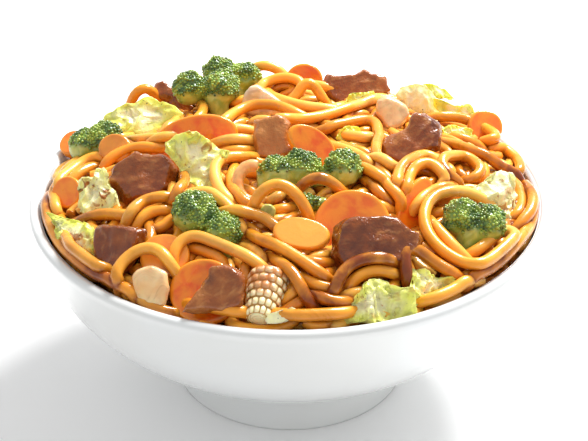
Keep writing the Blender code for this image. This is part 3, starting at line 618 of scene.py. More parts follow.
# Top noodles, from the lowest laid to the highest: depth of colour (0 pale, 1 deep), sauce on it,
# its route in millimetres, and True if it lies over the pieces that it crosses. A third number
# on a point lifts it over what it would rest on.
ROUTES = (
    # along the left and the front-left of the rim
    (0.25, 0.10, ((-82, 14), (-86, 8), (-88, 0), (-89, -10), (-88, -20), (-86, -28))),
    (0.50, 0.35, ((-77, -49), (-73, -56), (-68, -62), (-62, -68, -1), (-56, -74, -2),
                  (-50, -78, -3), (-43, -82, -4), (-36, -85, -4))),
    (0.45, 0.30, ((-86, -27), (-84, -36), (-80, -45), (-75, -53), (-69, -60), (-62, -67))),
    (0.60, 0.40, ((-92.5, -4, -3), (-92, -15, -3), (-89, -27, -3), (-84, -39, -3),
                  (-77, -51, -3), (-69, -61.5, -3), (-60, -70.5, -3), (-50, -78, -4))),
    # left
    (0.40, 0.25, ((-89, -10), (-87, -2), (-83, 5), (-78, 9), (-74, 7), (-72, 1))),
    (0.50, 0.30, ((-86, -8), (-82, -3), (-77, 1), (-73, 0))),
    (0.15, 0.05, ((-64, 17), (-60, 15), (-55, 13), (-50, 11), (-45, 6))),
    (0.50, 0.25, ((-72, -4), (-69, 3), (-63, 7), (-57, 7), (-50, 5), (-45, 4))),
    (0.10, 0.00, ((-54, 9), (-47, 12), (-41, 12), (-36, 9))),
    (0.55, 0.50, ((-78, -37, 1), (-73, -35), (-67, -36), (-61, -39), (-55, -42), (-50, -44))),
    (0.60, 0.30, ((-56, -51), (-53.5, -44), (-49, -40.5), (-44, -41), (-39, -43))),
    (0.40, 0.20, ((-59, -48), (-56.5, -39), (-53, -34), (-48, -33), (-43, -35), (-39, -37))),
    (0.60, 0.60, ((-40, -17), (-38.5, -25), (-40, -33), (-44, -38))),
    # back left and back
    (0.45, 0.10, ((-68, 56, 3), (-66, 59, 8), (-61, 60, 10), (-57, 59, 7), (-55, 58, 2))),
    (0.55, 0.15, ((-52, 62), (-45, 66), (-38, 66), (-32, 66))),
    (0.25, 0.05, ((-20, 78, 5), (-16, 80, 8), (-12, 80, 9), (-8, 80, 8), (-4, 78, 6),
                  (0, 74, 2))),
    (0.35, 0.10, ((-14, 63, 1), (-7, 67, 1), (1, 68, 1), (8, 67, 1), (14, 64, 1), (20, 59, 1))),
    (0.55, 0.20, ((-7, 55), (-6, 59, 1), (-2, 61, 2), (2, 58, 1), (1, 53), (-3, 51))),
    (0.20, 0.00, ((-10, 49), (-12, 55, 1), (-10, 61, 3), (-5, 64, 4), (1, 63, 4), (5, 58, 3),
                  (4, 52, 1), (0, 47))),
    (0.25, 0.05, ((-1, 40), (3, 46, 2), (5, 48, 6), (8, 49, 7), (10.5, 48, 5), (12.5, 46, 2),
                  (15, 40))),
    (0.15, 0.00, ((-12, 55, 1), (-7, 49), (-2, 43), (4, 38), (11, 35), (18, 34), (24, 34))),
    # middle of the back half
    (0.35, 0.10, ((-28, -7), (-23, -4), (-18, -3), (-13, -4))),
    (0.15, 0.00, ((-31, 2), (-25, 4.5), (-19, 5), (-13, 3))),
    (0.20, 0.00, ((-36, 9), (-31, 12.5), (-25, 15), (-19, 15), (-13, 12))),
    (0.40, 0.10, ((-27, 16), (-25, 24), (-21, 30, 1), (-15, 34, 2), (-8, 34, 2), (-2, 30, 2),
                  (4, 25, 1), (10, 21))),
    (0.50, 0.20, ((9, 11), (14, 14.5), (20, 19), (26, 23), (31, 25), (34, 21), (34, 12),
                  (33, 2), (32, -8), (33, -16), (36, -24), (38, -31))),
    (0.20, 0.05, ((-5, 22), (3, 23), (10, 25), (17, 30), (24, 37), (30, 44), (36, 53),
                  (41, 60)), True),
    (0.20, 0.00, ((13, 2), (18, -1), (23, -4.5), (28, -10), (31, -16))),
    (0.25, 0.00, ((18, 12), (23, 9), (28, 8), (32, 9))),
    (0.10, 0.00, ((31, -9), (36, -13), (41, -16), (46, -17))),
    (0.55, 0.35, ((26, -21), (29, -27), (33, -34), (38, -41))),
    (0.45, 0.20, ((24, -15), (29, -19), (33, -23), (37, -29), (40, -36), (39, -43))),
    # the left middle
    (0.30, 0.25, ((-20, -15), (-21.5, -24), (-20.5, -32), (-18, -39), (-13, -43), (-9, -46))),
    (0.15, 0.05, ((-13, -9), (-19, -9), (-24, -11, 1), (-27, -17, 2), (-27.5, -24, 2),
                  (-26, -31, 1), (-23, -37), (-19, -43))),
    (0.30, 0.15, ((-41, -35), (-35, -33), (-28.5, -35, 1), (-24, -41, 1), (-20.5, -47),
                  (-17, -54), (-15, -60))),
    (0.40, 0.30, ((-25, -46), (-19, -46), (-14, -47), (-9, -50), (-5, -55), (-1, -61))),
    (0.45, 0.45, ((1, -39), (3, -37, 3), (7, -36, 6), (11, -36, 7), (15, -36, 5),
                  (19, -37, 2), (21, -39))),
    (0.35, 0.40, ((-14, -48), (-13, -46, 3), (-10, -44.5, 7), (-5, -43.5, 9), (0, -44.5, 8),
                  (4, -47.5, 5), (6.5, -51, 2), (7, -55))),
    # the right half
    (0.43, 0.15, ((61, 22), (67, 21), (73, 20), (78, 17))),
    (0.23, 0.05, ((59, 17), (64, 14), (69, 11), (74, 9))),
    (0.48, 0.25, ((79, 19), (82, 25), (86, 28), (89, 24), (91, 17), (90, 9), (88, 3))),
    (0.53, 0.20, ((57, 38), (63, 42, 1), (70, 45, 2), (77, 44, 2), (82, 38, 2), (82, 30, 1),
                  (77, 24))),
    (0.33, 0.15, ((70, 13), (73, 6), (74, -2), (73, -9), (70, -15))),
    (0.58, 0.50, ((60, 14), (66, 12), (71, 9), (77, 6), (82, 3), (87, 0), (91, -6))),
    (0.53, 0.20, ((45, -30), (50, -26), (54, -21), (53.5, -16), (49, -14), (44, -17),
                  (41, -23))),
    (0.43, 0.15, ((40, -34), (42, -25), (45, -17, 1), (50, -11, 1), (55, -13, 1),
                  (57.5, -19), (55, -25), (50, -30))),
    (0.43, 0.15, ((37, -33), (39, -25), (41, -15), (45, -8), (51, -2), (56, -5), (59, -11),
                  (59, -18))),
    (0.53, 0.35, ((62, -20), (57.5, -14), (57.5, -5), (62, 1), (68, 1, 1), (72, -6, 1),
                  (69, -14, 1), (63, -19))),
    (0.43, 0.30, ((44, -43), (46.5, -36), (50, -30), (55, -25), (60, -20))),
    # down the right of the rim
    (0.35, 0.20, ((84, 0), (87, -8), (87, -16), (85, -25), (81, -33))),
    (0.55, 0.35, ((90, -3), (91, -12), (89, -22), (86, -31), (81, -40))),
    (0.30, 0.15, ((84, -38), (80, -46), (75, -53), (70, -59), (64, -66), (57, -72))),
    (0.60, 0.40, ((92.5, 2, -3), (92, -11, -3), (90, -22, -3), (86, -33, -3), (80, -44.5, -3),
                  (73, -55, -3), (65, -64, -3), (56, -72, -3))),
    # round the right-hand floret
    (0.35, 0.30, ((48, -43), (52, -49), (55.5, -54), (59, -58), (63, -62))),
    (0.30, 0.15, ((78, -30), (71, -27, 1), (63, -27, 2), (56, -30, 2), (50, -36, 1),
                  (47.5, -45), (49, -54), (54, -60), (61, -62.5), (68, -60.5), (74, -55.5, 1),
                  (79, -49, 2), (81, -43.5, 2), (78, -41.5, 2), (73, -46, 1), (68, -52),
                  (63, -58))),
    # the front
    (0.60, 0.55, ((41, -80), (39, -74, 1), (38.5, -68, 3), (41, -65, 4), (45, -64, 2),
                  (50, -65.5), (56, -68), (62, -71))),
    (0.25, 0.00, ((67, -67), (60, -72), (54, -76), (48, -80), (42, -83.5))),
    (0.25, 0.10, ((1, -76), (5, -79), (10, -81), (15, -82), (20, -82))),
    (0.50, 0.45, ((3, -83), (8, -84.5), (13, -85.5), (18, -86.5), (24, -86))),
    (0.45, 0.45, ((19, -82), (22, -78, 1), (27, -74.5, 1), (33, -73, 1), (39, -74))),
    (0.55, 0.60, ((13, -85), (16.5, -79, 2), (20, -75, 3), (25, -72, 3), (31, -70.5, 3),
                  (38, -71, 1))),
    (0.55, 0.50, ((-16, -57), (-11, -62, 1), (-6, -65.5, 2), (-1, -69, 2), (4, -73, 2),
                  (9, -77, 2), (14, -80))),
    (0.50, 0.60, ((-8, -69), (-3, -73, 1), (1, -78, 2), (3.5, -83, 2), (6, -87, 1),
                  (10, -91))),
    (0.35, 0.15, ((-10, -91), (-4, -91), (3, -91.5), (10, -91), (17, -90), (24, -88))),
    (0.45, 0.20, ((-35, -85), (-29, -86), (-23, -88), (-17, -89.5), (-11, -91))),
    (0.35, 0.15, ((-39, -74), (-40.5, -67, 1), (-38, -61, 2), (-33, -59, 2), (-27, -61.5, 1),
                  (-20, -66, 1), (-14, -70, 1), (-9, -74), (-6, -79))),
    (0.45, 0.25, ((-60, -76), (-60.5, -71, 1), (-58, -66.5, 3), (-53.5, -64, 4),
                  (-48.5, -63.5, 4), (-43.5, -66, 3), (-40, -70.5, 1), (-38, -75))),
)


def smooth_route(points):
    """A curve through a route's points, as points a STEP apart; columns x, y and lift."""
    raw = np.array([(*point, 0.0)[:3] for point in points], float)
    padded = np.vstack([2 * raw[0] - raw[1], raw, 2 * raw[-1] - raw[-2]])
    parts = []
    share = np.linspace(0, 1, 12, endpoint=False)[:, None]
    for a, b, c, d in zip(padded, padded[1:], padded[2:], padded[3:]):
        parts.append(0.5 * (2 * b + (c - a) * share + (2 * a - 5 * b + 4 * c - d) * share ** 2
                            + (3 * b - a - 3 * c + d) * share ** 3))
    curve = np.vstack(parts + [raw[-1:]])
    along = np.concatenate([[0], np.cumsum(np.linalg.norm(np.diff(curve[:, :2], axis=0), axis=1))])
    even = np.linspace(0, along[-1], max(4, round(along[-1] / STEP) + 1))
    return np.column_stack([np.interp(even, along, curve[:, column]) for column in range(3)])


def soften(values, passes):
    for _ in range(passes):
        padded = np.concatenate([values[:1], values, values[-1:]])
        values = (padded[:-2] + 2 * values + padded[2:]) / 4
    return values


def towards_eye():
    """The direction from the heap to the side that it is shown from."""
    pitch = bpy.context.scene.yakisoba_stage.pitch
    return np.array((0.0, -math.cos(pitch), math.sin(pitch)))


def in_front(points):
    """Splits points into where they show (across, up) and how far in front they lie."""
    ahead = towards_eye()
    above = np.array((0.0, ahead[2], -ahead[1]))
    return np.column_stack([points[:, 0], points @ above]), points @ ahead


def bridged(values, passes):
    """Smooths a row of heights without falling under any of them."""
    held = values.copy()
    for _ in range(passes):
        held = np.maximum(values, soften(held, 1))
    return soften(held, 3)


def lay_on_top(routes, toppings, radius):
    """The top noodles from routes, each in front of those laid before it."""
    ahead = towards_eye()
    shown, depth = np.zeros((0, 2)), np.zeros(0)
    strands = []
    for _, _, route, *over in routes:
        path = smooth_route(route)
        height = heap_surface(path[:, 0], path[:, 1]) + TOP_HEIGHT + path[:, 2]
        points = np.column_stack([path[:, :2], height])
        flat, own = in_front(points)
        need = np.zeros(len(points))
        if len(depth):
            apart = np.linalg.norm(flat[:, None] - shown[None], axis=2)
            behind = np.abs(depth[None] - own[:, None]) < STACK_REACH
            rise = np.sqrt(np.maximum((2 * radius) ** 2 - apart ** 2, 0)) * STACK_CLOSE
            wanted = np.where((rise > 0) & behind, depth[None] + rise - own[:, None], 0)
            need = np.maximum(need, wanted.max(axis=1))
        if over:
            for index, point in enumerate(points):
                start = Vector(point + ahead * LOOK_AHEAD) * MM
                hit = toppings.ray_cast(start, Vector(-ahead), LOOK_REACH * MM)[0]
                if hit is not None:
                    surface = np.array(hit) @ ahead / MM
                    need[index] = max(need[index], surface + radius - own[index])
        need = np.minimum(bridged(need, BRIDGE_PASSES), STACK_LIMIT + OVER_LIMIT * bool(over))
        along = np.arange(len(path)) * STEP
        for distance in (along, along[::-1]):
            share = np.clip(distance / DIVE_LENGTH, 0, 1)
            need = need - DIVE_DEPTH * (1 - share) ** 2
        points = points + need[:, None] * ahead
        flat, own = in_front(points)
        shown, depth = np.vstack([shown, flat]), np.concatenate([depth, own])
        strands.append(points)
    return strands


def tuck_behind(points, toppings, radius):
    """Sinks a noodle, seen from the eye, until it passes behind the pieces that it meets."""
    ahead = towards_eye()
    eyewards = Vector(ahead)
    sink = np.zeros(len(points))
    for index, point in enumerate(points):
        front = Vector(point + ahead * TUCK_REACH) * MM
        back = Vector(point - ahead * TUCK_REACH) * MM
        if toppings.ray_cast(front, -eyewards, 2 * TUCK_REACH * MM)[0] is None:
            continue
        hit = toppings.ray_cast(back, eyewards, 2 * TUCK_REACH * MM)[0]
        if hit is not None:
            sink[index] = max(0.0, point @ ahead - (np.array(hit) @ ahead / MM - radius))
    sink = bridged(sink, TUCK_PASSES)
    return points - sink[:, None] * ahead


def close_pairs(points, reach):
    """Indices of the pairs of points that lie within a reach of each other."""
    cells = np.floor(points / reach).astype(np.int64)
    cells -= cells.min(axis=0) - 1
    size = cells.max(axis=0) + 2
    keys = (cells[:, 0] * size[1] + cells[:, 1]) * size[2] + cells[:, 2]
    order = np.argsort(keys, kind="stable")
    ranked = keys[order]
    firsts, seconds = [], []
    steps = [(dx, dy, dz) for dx in (0, 1) for dy in (-1, 0, 1) for dz in (-1, 0, 1)]
    for dx, dy, dz in steps[steps.index((0, 0, 0)):]:
        wanted = keys + (dx * size[1] + dy) * size[2] + dz
        low = np.searchsorted(ranked, wanted, "left")
        count = np.searchsorted(ranked, wanted, "right") - low
        first = np.repeat(np.arange(len(points)), count)
        start = np.repeat(low - np.concatenate([[0], np.cumsum(count)[:-1]]), count)
        second = order[start + np.arange(len(first))]
        if (dx, dy, dz) == (0, 0, 0):
            kept = first < second
            first, second = first[kept], second[kept]
        firsts.append(first)
        seconds.append(second)
    first, second = np.concatenate(firsts), np.concatenate(seconds)
    near = np.linalg.norm(points[first] - points[second], axis=1) < reach
    return first[near], second[near]


def per_point(strands, values):
    """A value for each strand, repeated for each of its points."""
    return np.repeat(values, [len(points) for points in strands])


def settle(strands, pins, limits, radius):
    """Pushes noodles apart where they run into each other and smooths them again."""
    points = np.vstack(strands)
    home = points.copy()
    strand = per_point(strands, range(len(strands)))
    place = np.concatenate([np.arange(len(part)) for part in strands])
    pin, rise = per_point(strands, pins), per_point(strands, limits)
    middle = 1 + np.flatnonzero((strand[1:-1] == strand[:-2]) & (strand[1:-1] == strand[2:]))
    under = pin < 0.5
    for _ in range(SETTLE_ROUNDS):
        first, second = close_pairs(points, 2 * radius)
        apart = (strand[first] != strand[second]) | (
            np.abs(place[first] - place[second]) > OWN_REACH)
        first, second = first[apart], second[apart]
        gap = points[first] - points[second]
        distance = np.maximum(np.linalg.norm(gap, axis=1), 0.05)
        push = gap / distance[:, None] * ((2 * radius - distance) * SETTLE_PUSH)[:, None]
        share = (1.02 - pin[first]) / (2.04 - pin[first] - pin[second])
        moved, count = np.zeros_like(points), np.ones(len(points))
        for ends, way in ((first, 2 * share), (second, -2 * (1 - share))):
            np.add.at(moved, ends, push * way[:, None])
        for ends in (first, second):
            np.add.at(count, ends, 0.5)
        points += moved / count[:, None]
        smoothed = (points[middle - 1] + points[middle + 1]) / 2
        points[middle] += SETTLE_SMOOTH * (smoothed - points[middle])
        points += SETTLE_HOME * (home - points) * (0.25 + 0.75 * pin)[:, None]
        surface = heap_surface(points[:, 0], points[:, 1])
        points[under, 2] = np.minimum(points[under, 2], (surface + rise)[under])
        out = np.hypot(points[:, 0], points[:, 1])
        limit = inside_radius(points[:, 2] - radius / 2) - radius - WALL_GAP
        points[:, :2] *= np.minimum(1.0, limit / np.maximum(out, 1.0))[:, None]
    return np.split(points, np.cumsum([len(part) for part in strands])[:-1])


def wandering_path(rng, start):
    """A noodle's aimless route: it curls one way, then the other, and turns back at the rim."""
    length = rng.uniform(*WANDER_LENGTHS)
    heading = rng.uniform(0, math.tau)
    lean = rng.choice((-1, 1)) / rng.uniform(*FIRST_CURL)
    curvature = lean
    point = np.array(start, float)
    points = [point]
    for _ in range(int(length / STEP)):
        if rng.random() < STEP / CURL_LENGTH:
            lean = rng.choice((-1, 1)) / rng.uniform(*NEXT_CURLS)
        curvature += (lean - curvature) * CURL_EASE + rng.normal(0, CURL_DRIFT)
        if math.hypot(*point) > TURN_BACK:
            home = math.atan2(-point[1], -point[0])
            turn = (home - heading + math.pi) % math.tau - math.pi
            curvature = 0.7 * curvature + 0.3 * math.copysign(1 / TURN_BACK_CURL, turn)
        heading += np.clip(curvature, -1 / TIGHTEST_CURL, 1 / TIGHTEST_CURL) * STEP
        point = point + STEP * np.array((math.cos(heading), math.sin(heading)))
        if math.hypot(*point) > LAST_RADIUS:
            point = point * LAST_RADIUS / math.hypot(*point)
        points.append(point)
    path = np.array(points)
    return np.column_stack([path, np.zeros(len(path))])


def lay_under(rng, count, level, spread):
    """Wandering noodles at a level to the heap's surface, evenly spread over it."""
    cover = np.zeros((COVER_CELLS, COVER_CELLS))
    strands = []
    for _ in range(count):
        best, best_score = None, -np.inf
        for _ in range(UNDER_TRIES):
            angle = rng.uniform(0, math.tau)
            reach = UNDER_START * math.sqrt(rng.uniform(0, 1))
            path = wandering_path(rng, (reach * math.cos(angle), reach * math.sin(angle)))
            cells = (path[:, :2] / COVER_CELL + COVER_CELLS // 2).astype(int)
            cells = tuple(np.clip(cells, 0, COVER_CELLS - 1).T)
            score = -cover[cells].mean()
            if score > best_score:
                best, best_score, best_cells = path, score, cells
        np.add.at(cover, best_cells, STEP / COVER_CELL)
        along = np.arange(len(best)) * STEP
        wave = spread * np.sin(along / rng.uniform(7, 13) + rng.uniform(0, math.tau))
        height = heap_surface(best[:, 0], best[:, 1]) + level + wave
        strands.append(np.column_stack([best[:, :2], height]))
    return strands


def new_geometry_group(name, *inputs):
    """A geometry group with the given inputs and a material, and its inputs to read."""
    tree = bpy.data.node_groups.new(name, "GeometryNodeTree")
    for label, kind in (("Geometry", "Geometry"), *inputs, ("Material", "Material")):
        tree.interface.new_socket(label, in_out="INPUT", socket_type="NodeSocket" + kind)
    tree.interface.new_socket("Geometry", in_out="OUTPUT", socket_type="NodeSocketGeometry")
    return tree, tree.nodes.new("NodeGroupInput").outputs


def close_geometry_group(tree, source, geometry):
    """Ends a group: real geometry in the group's material."""
    real = add_node(tree, "GeometryNodeRealizeInstances", {"Geometry": geometry})
    done = add_node(tree, "GeometryNodeSetMaterial", {
        "Geometry": real.outputs["Geometry"], "Material": source["Material"]})
    result = tree.nodes.new("NodeGroupOutput")
    link(tree, done.outputs["Geometry"], result.inputs["Geometry"])
    return tree


def named_attribute(tree, name):
    return add_node(tree, "GeometryNodeInputNamedAttribute", {"Name": name},
                    data_type="FLOAT").outputs["Attribute"]


def noodle_tree():
    """Tubes along the edges of a mesh, thick as its thickness attribute says."""
    tree, source = new_geometry_group("noodle_tubes", ("Radius", "Float"), ("Sides", "Int"))
    curve = add_node(tree, "GeometryNodeMeshToCurve", {"Mesh": source["Geometry"]})
    sized = add_node(tree, "GeometryNodeSetCurveRadius", {
        "Curve": curve.outputs["Curve"], "Radius": named_attribute(tree, "thickness")})
    section = add_node(tree, "GeometryNodeCurvePrimitiveCircle", {
        "Resolution": source["Sides"], "Radius": source["Radius"]})
    tube = add_node(tree, "GeometryNodeCurveToMesh", {
        "Curve": sized.outputs["Curve"], "Profile Curve": section.outputs["Curve"],
        "Fill Caps": True})
    smooth = add_node(tree, "GeometryNodeSetShadeSmooth", {"Geometry": tube.outputs["Mesh"]})
    return close_geometry_group(tree, source, smooth.outputs["Geometry"])


def through_nodes(data, name, tree, **values):
    """A mesh after a node group has worked on it with the given inputs."""
    holder = held(data, name)
    modifier = holder.modifiers.new("nodes", "NODES")
    modifier.node_group = tree
    for item in tree.interface.items_tree:
        label = item.name.lower()
        if item.item_type == "SOCKET" and item.in_out == "INPUT" and label in values:
            modifier[item.identifier] = values[label]
    return evaluated(holder)


def centre_lines(strands):
    """A search tree over the middles of all noodles, and the noodle that each one is of."""
    owners = per_point(strands, range(len(strands)))
    tree = KDTree(len(owners))
    for index, point in enumerate(np.vstack(strands)):
        tree.insert(point * MM, index)
    tree.balance()
    return tree, owners


def contacts(data, lines, radius):
    """How closely each corner of the noodles lies against another noodle, 0 to 1."""
    tree, owners = lines
    own = np.empty(len(data.vertices))
    data.attributes["strand"].data.foreach_get("value", own)
    close = np.zeros(len(own))
    reach = radius * CONTACT_REACH
    for index, vertex in enumerate(data.vertices):
        for _, other, distance in tree.find_range(vertex.co, reach):
            if owners[other] != own[index]:
                close[index] = max(close[index], (reach - distance) / (reach - radius))
    return np.clip(close, 0, 1)


def along_wave(laid, number, wave):
    """A slow change along a noodle, different for each number."""
    size, length, lag = wave
    return size * np.sin(np.arange(len(laid)) * STEP / length + lag * number)


def make_noodles(name, strands, first_strand, lines, tree, material, sides):
    """One piece of many noodles; each strand is (points in millimetres, tone, sauce)."""
    radius = bpy.context.scene.yakisoba_noodles.radius
    points, edges, tones, sauces, thickness = [], [], [], [], []
    for number, (laid, tone, sauce) in enumerate(strands):
        first = len(points)
        points.extend(map(tuple, laid * MM))
        edges.extend((first + index, first + index + 1) for index in range(len(laid) - 1))
        tones.extend(tone + along_wave(laid, number, TONE_WAVE))
        sauces.extend(sauce + along_wave(laid, number, SAUCE_WAVE))
        thickness.extend(1.0 + along_wave(laid, number, THICKNESS_WAVE)
                         + THICKNESS_SPREAD * math.sin(5.0 * number))
    owners = per_point([laid for laid, _, _ in strands], range(len(strands)))
    data = bpy.data.meshes.new(name)
    data.from_pydata(points, edges, [])
    set_attributes(data, tone=tones, sauce=sauces, thickness=thickness,
                   strand=owners + first_strand)
    made = through_nodes(data, name + "_paths", tree, radius=radius, sides=sides,
                         material=material)
    set_attributes(made, contact=contacts(made, lines, radius))
    return add_piece(name, made, material, ("noodle_heap",))


def noodle_material():
    settings = bpy.context.scene.yakisoba_noodles
    material, tree, surface = new_material(
        "noodle", Subsurface_Weight=0.15, Subsurface_Scale=0.002, Coat_Weight=0.4,
        Coat_Roughness=0.13, Specular_IOR_Level=0.3, Subsurface_Radius=(1.0, 0.45, 0.12))
    cloud = math_node(tree, "SUBTRACT", patches(tree, 0.016)["Noise"], 0.5)
    tone = math_node(tree, "ADD", attribute(tree, "tone"), times(tree, cloud, 0.6))
    ramp = add_node(tree, "ShaderNodeValToRGB", {"Fac": tone})
    stops = ramp.color_ramp.elements
    stops[0].position, stops[0].color = 0.05, (*settings.pale, 1.0)
    stops[1].position, stops[1].color = 0.85, (*settings.brown, 1.0)
    stops.new(0.38).color = (*settings.golden, 1.0)
    # Where noodles touch, the contact adds sauce and, below, painted shade.
    contact = attribute(tree, "contact")
    amount = math_node(tree, "ADD", attribute(tree, "sauce"), times(tree, contact, 0.38))
    colour, roughness = film_over(tree, ramp.outputs["Color"], amount, 0.012, 0.36, 0.18)
    # Painted shade: a noodle's sides and underside, and the places where it lies against another
    # noodle, are mixed towards dark brown.
    normal = add_node(tree, "ShaderNodeNewGeometry").outputs["Normal"]
    height = add_node(tree, "ShaderNodeSeparateXYZ", {"Vector": normal}).outputs["Z"]
    painted_side_shade = times(tree, span(tree, height, 0.55, -0.45), 0.40)
    shade = times(tree, span(tree, contact, 0.25, 1.0), 0.6)
    paint(tree, surface, mix_colour(tree, math_node(tree, "MAXIMUM", painted_side_shade, shade), colour,
                                    (0.42, 0.10, 0.005)), roughness)
    fine_grain(tree, surface, 0.0025, 0.0003, 0.35, bend=0.0)
    return material


def core_material():
    settings = bpy.context.scene.yakisoba_noodles
    material, tree, surface = new_material("sauced_core", Coat_Weight=0.4)
    cloud = patches(tree, 0.006, 0.35, 0.65)
    paint(tree, surface, mix_colour(tree, cloud["Mask"], settings.brown, settings.golden),
          mix_value(tree, cloud["Mask"], 0.2, 0.4))
    bump(tree, surface, cloud["Noise"], 0.001)
    return material


def make_core():
    """The heap's solid, sunk under the noodles that lie on it."""
    mesh = welded("noodle_heap")
    for vertex in mesh.verts:
        x, y, z = vertex.co / MM
        share = min(max((z - CORE_TOP_FROM) / (HEAP_EDGE_HEIGHT - CORE_TOP_FROM), 0.0), 1.0)
        z -= CORE_DROP * share
        radius = max(math.hypot(x, y), 0.001)
        limit = float(inside_radius(z)) - CORE_CLEAR
        pull = min(1.0, limit / radius)
        vertex.co = Vector((x * pull, y * pull, z)) * MM
    return kept(mesh, "noodle_core")


def toppings_tree():
    """One search tree over everything that lies in the heap."""
    points, faces = [], []
    for node in sorted(set(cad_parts) - {"bowl", "noodle_heap"}):
        data = solid(node)
        faces += shifted((face.vertices for face in data.polygons), len(points))
        points.extend(vertex.co.copy() for vertex in data.vertices)
    return BVHTree.FromPolygons(points, faces)


# ------------------------------------------------------------------ toppings

# Meat: how tan its left and its right are, how coarse its grain, how wet with sauce
MEATS = {
    "meat_upper_left": (0.45, 0.25, 0.6, 0.30),
    "meat_left": (0.45, 0.35, 1.0, 0.30),
    "meat_front_left": (0.25, 0.30, 0.6, 0.45),
    "meat_middle": (0.95, 0.85, 0.9, 0.05),
    "meat_back": (0.40, 0.60, 0.7, 0.20),
    "meat_right": (0.75, 0.15, 0.8, 0.25),
    "meat_front": (0.15, 0.35, 0.5, 0.45),
    "meat_front_middle": (0.65, 0.40, 0.7, 0.25),
}

# The relief of meat in millimetres: size of the bumps, and how high they stand
MEAT_SWELL = (9.0, 1.0)
MEAT_LUMPS = (4.0, 0.7)
MEAT_FOLDS = (7.0, 0.5)
MEAT_FIBRES = (1.6, 0.26)
MEAT_SINK = 0.1

# Passes that wear the edges of a solid
MEAT_WEAR = 7
FLORET_WEAR = 5
SOFT_WEAR = 14

# Slices: how pale, how much sauce
CARROTS = {
    "carrot_far_left": (0.25, 0.00),
    "carrot_left": (0.25, 0.05),
    "carrot_upper_left": (0.00, 0.05),
    "carrot_back": (0.10, 0.00),
    "carrot_glazed": (0.00, 0.15),
    "carrot_middle": (0.15, 0.00),
    "carrot_tall": (0.10, 0.05),
    "carrot_right": (0.35, 0.00),
    "carrot_far_right": (0.25, 0.00),
    "carrot_front": (0.00, 0.25),
    "carrot_sauced": (0.60, 0.35),
    "carrot_round": (0.55, 0.32),
    "carrot_pale": (1.00, 0.05),
}

# Leaves: how green, how stained with sauce, depth and size of their folds in millimetres
LEAVES = {
    "cabbage_upper_left": (0.60, 0.05, 2.4, 11.0),
    "cabbage_folded": (0.55, 0.40, 2.4, 7.5),
    "cabbage_left": (0.30, 0.55, 2.5, 6.0),
    "cabbage_far_left": (0.60, 0.40, 2.4, 5.5),
    "cabbage_front": (0.50, 0.25, 3.0, 6.0),
    "cabbage_front_right": (0.55, 0.20, 2.4, 5.5),
    "cabbage_right": (0.20, 0.35, 2.8, 6.5),
    "cabbage_back": (0.15, 0.00, 1.6, 8.0),
    "cabbage_back_edge": (0.75, 0.15, 1.1, 6.0),
    "cabbage_back_right": (1.00, 0.00, 1.4, 6.0),
    "cabbage_rib": (0.05, 0.15, 0.5, 5.0),
    "cabbage_middle": (0.70, 0.20, 1.6, 4.0),
    "cabbage_inner_right": (0.80, 0.15, 1.4, 4.0),
    "cabbage_inner_back": (0.70, 0.15, 1.5, 4.0),
}

# Florets: place, facing in degrees (azimuth, elevation, spin), heads (across, up, radius)
FLORETS = {
    "broccoli_left": ((-77.0, 20.5, 90.0), (-20, 35, 0), ((-3.5, -1.5, 7.4), (3.5, 3.0, 6.8))),
    "broccoli_upper_left": ((-35.0, 54.0, 98.0), (-5, 30, 0),
                            ((-6.5, 0.5, 7.2), (6.5, 1.5, 7.6))),
    "broccoli_back": ((-24.0, 76.0, 94.5), (0, 30, 0), ((-6.0, 1.5, 7.2), (5.0, -0.5, 6.6))),
    "broccoli_middle": ((5.0, -22.0, 101.5), (0, 48, 0),
                        ((-9.5, -1.5, 6.8), (-1.0, 0.5, 7.2), (14.5, 0.5, 7.2))),
    "broccoli_lower": ((-29.5, -52.0, 95.5), (-10, 45, -18), ((-5.5, 2.5, 8.2), (6.8, 0.2, 7.0))),
    "broccoli_right": ((65.0, -45.0, 91.0), (10, 35, -8), ((-4.2, 2.6, 7.0), (5.0, 1.0, 7.4))),
    "broccoli_under": ((7.5, -34.5, 94.0), (0, 45, 0), ((-1.5, 0.0, 4.2),)),
    "broccoli_stem_end": ((-8.0, -43.0, 95.5), (0, 25, 0), ()),
}

HEAD_EDGE = 0.8                 # over how much a head fades into its stem
HEAD_FROM = -3.2                # height over the floret's place from which there are buds
KNOB_SIZE = 3.4
BUD_SPACING = 1.55              # in bud radii

# The cob, in millimetres: it lies on its side with its cut end out
CORN_PLACE = (-8.6, -82.2, 84.7)
CORN_FACING = (-12, -20, 0)
CORN_HALF = 9.0
CORN_TIP = 4.0
CORN_CUT = 7.0
CORN_ROWS = 13
CORN_STEPS = 70                 # rings along the cob
CORN_END = 0.3                  # how far its cut end stands out
KERNEL_LENGTH = 3.0
KERNEL_RISE = 0.75
# Rings of the cut end: radius, depth
CORN_END_RINGS = ((3.4, 0.3), (3.0, 0.9), (2.9, 0.2), (2.2, 0.1), (2.0, 0.35), (1.8, 0.1),
                  (1.0, 0.05), (0.8, 0.2), (0.6, 0.0))


def facing_axes(facing):
    """Across, up and out, as rows, for a piece that faces a way given in degrees."""
    azimuth, elevation, spin = np.radians(facing)
    out = np.array((math.sin(azimuth) * math.cos(elevation),
                    -math.cos(azimuth) * math.cos(elevation), math.sin(elevation)))
    across = np.array((math.cos(azimuth), math.sin(azimuth), 0.0))
    up = np.cross(out, across)
    return np.array((math.cos(spin) * across + math.sin(spin) * up,
                     math.cos(spin) * up - math.sin(spin) * across, out))


def grid_faces(rows, columns):
    """Quads between rings of points."""
    return [(row * columns + column, row * columns + (column + 1) % columns,
             (row + 1) * columns + (column + 1) % columns, (row + 1) * columns + column)
            for row in range(rows - 1) for column in range(columns)]


def shifted(faces, by):
    return [tuple(index + by for index in face) for face in faces]


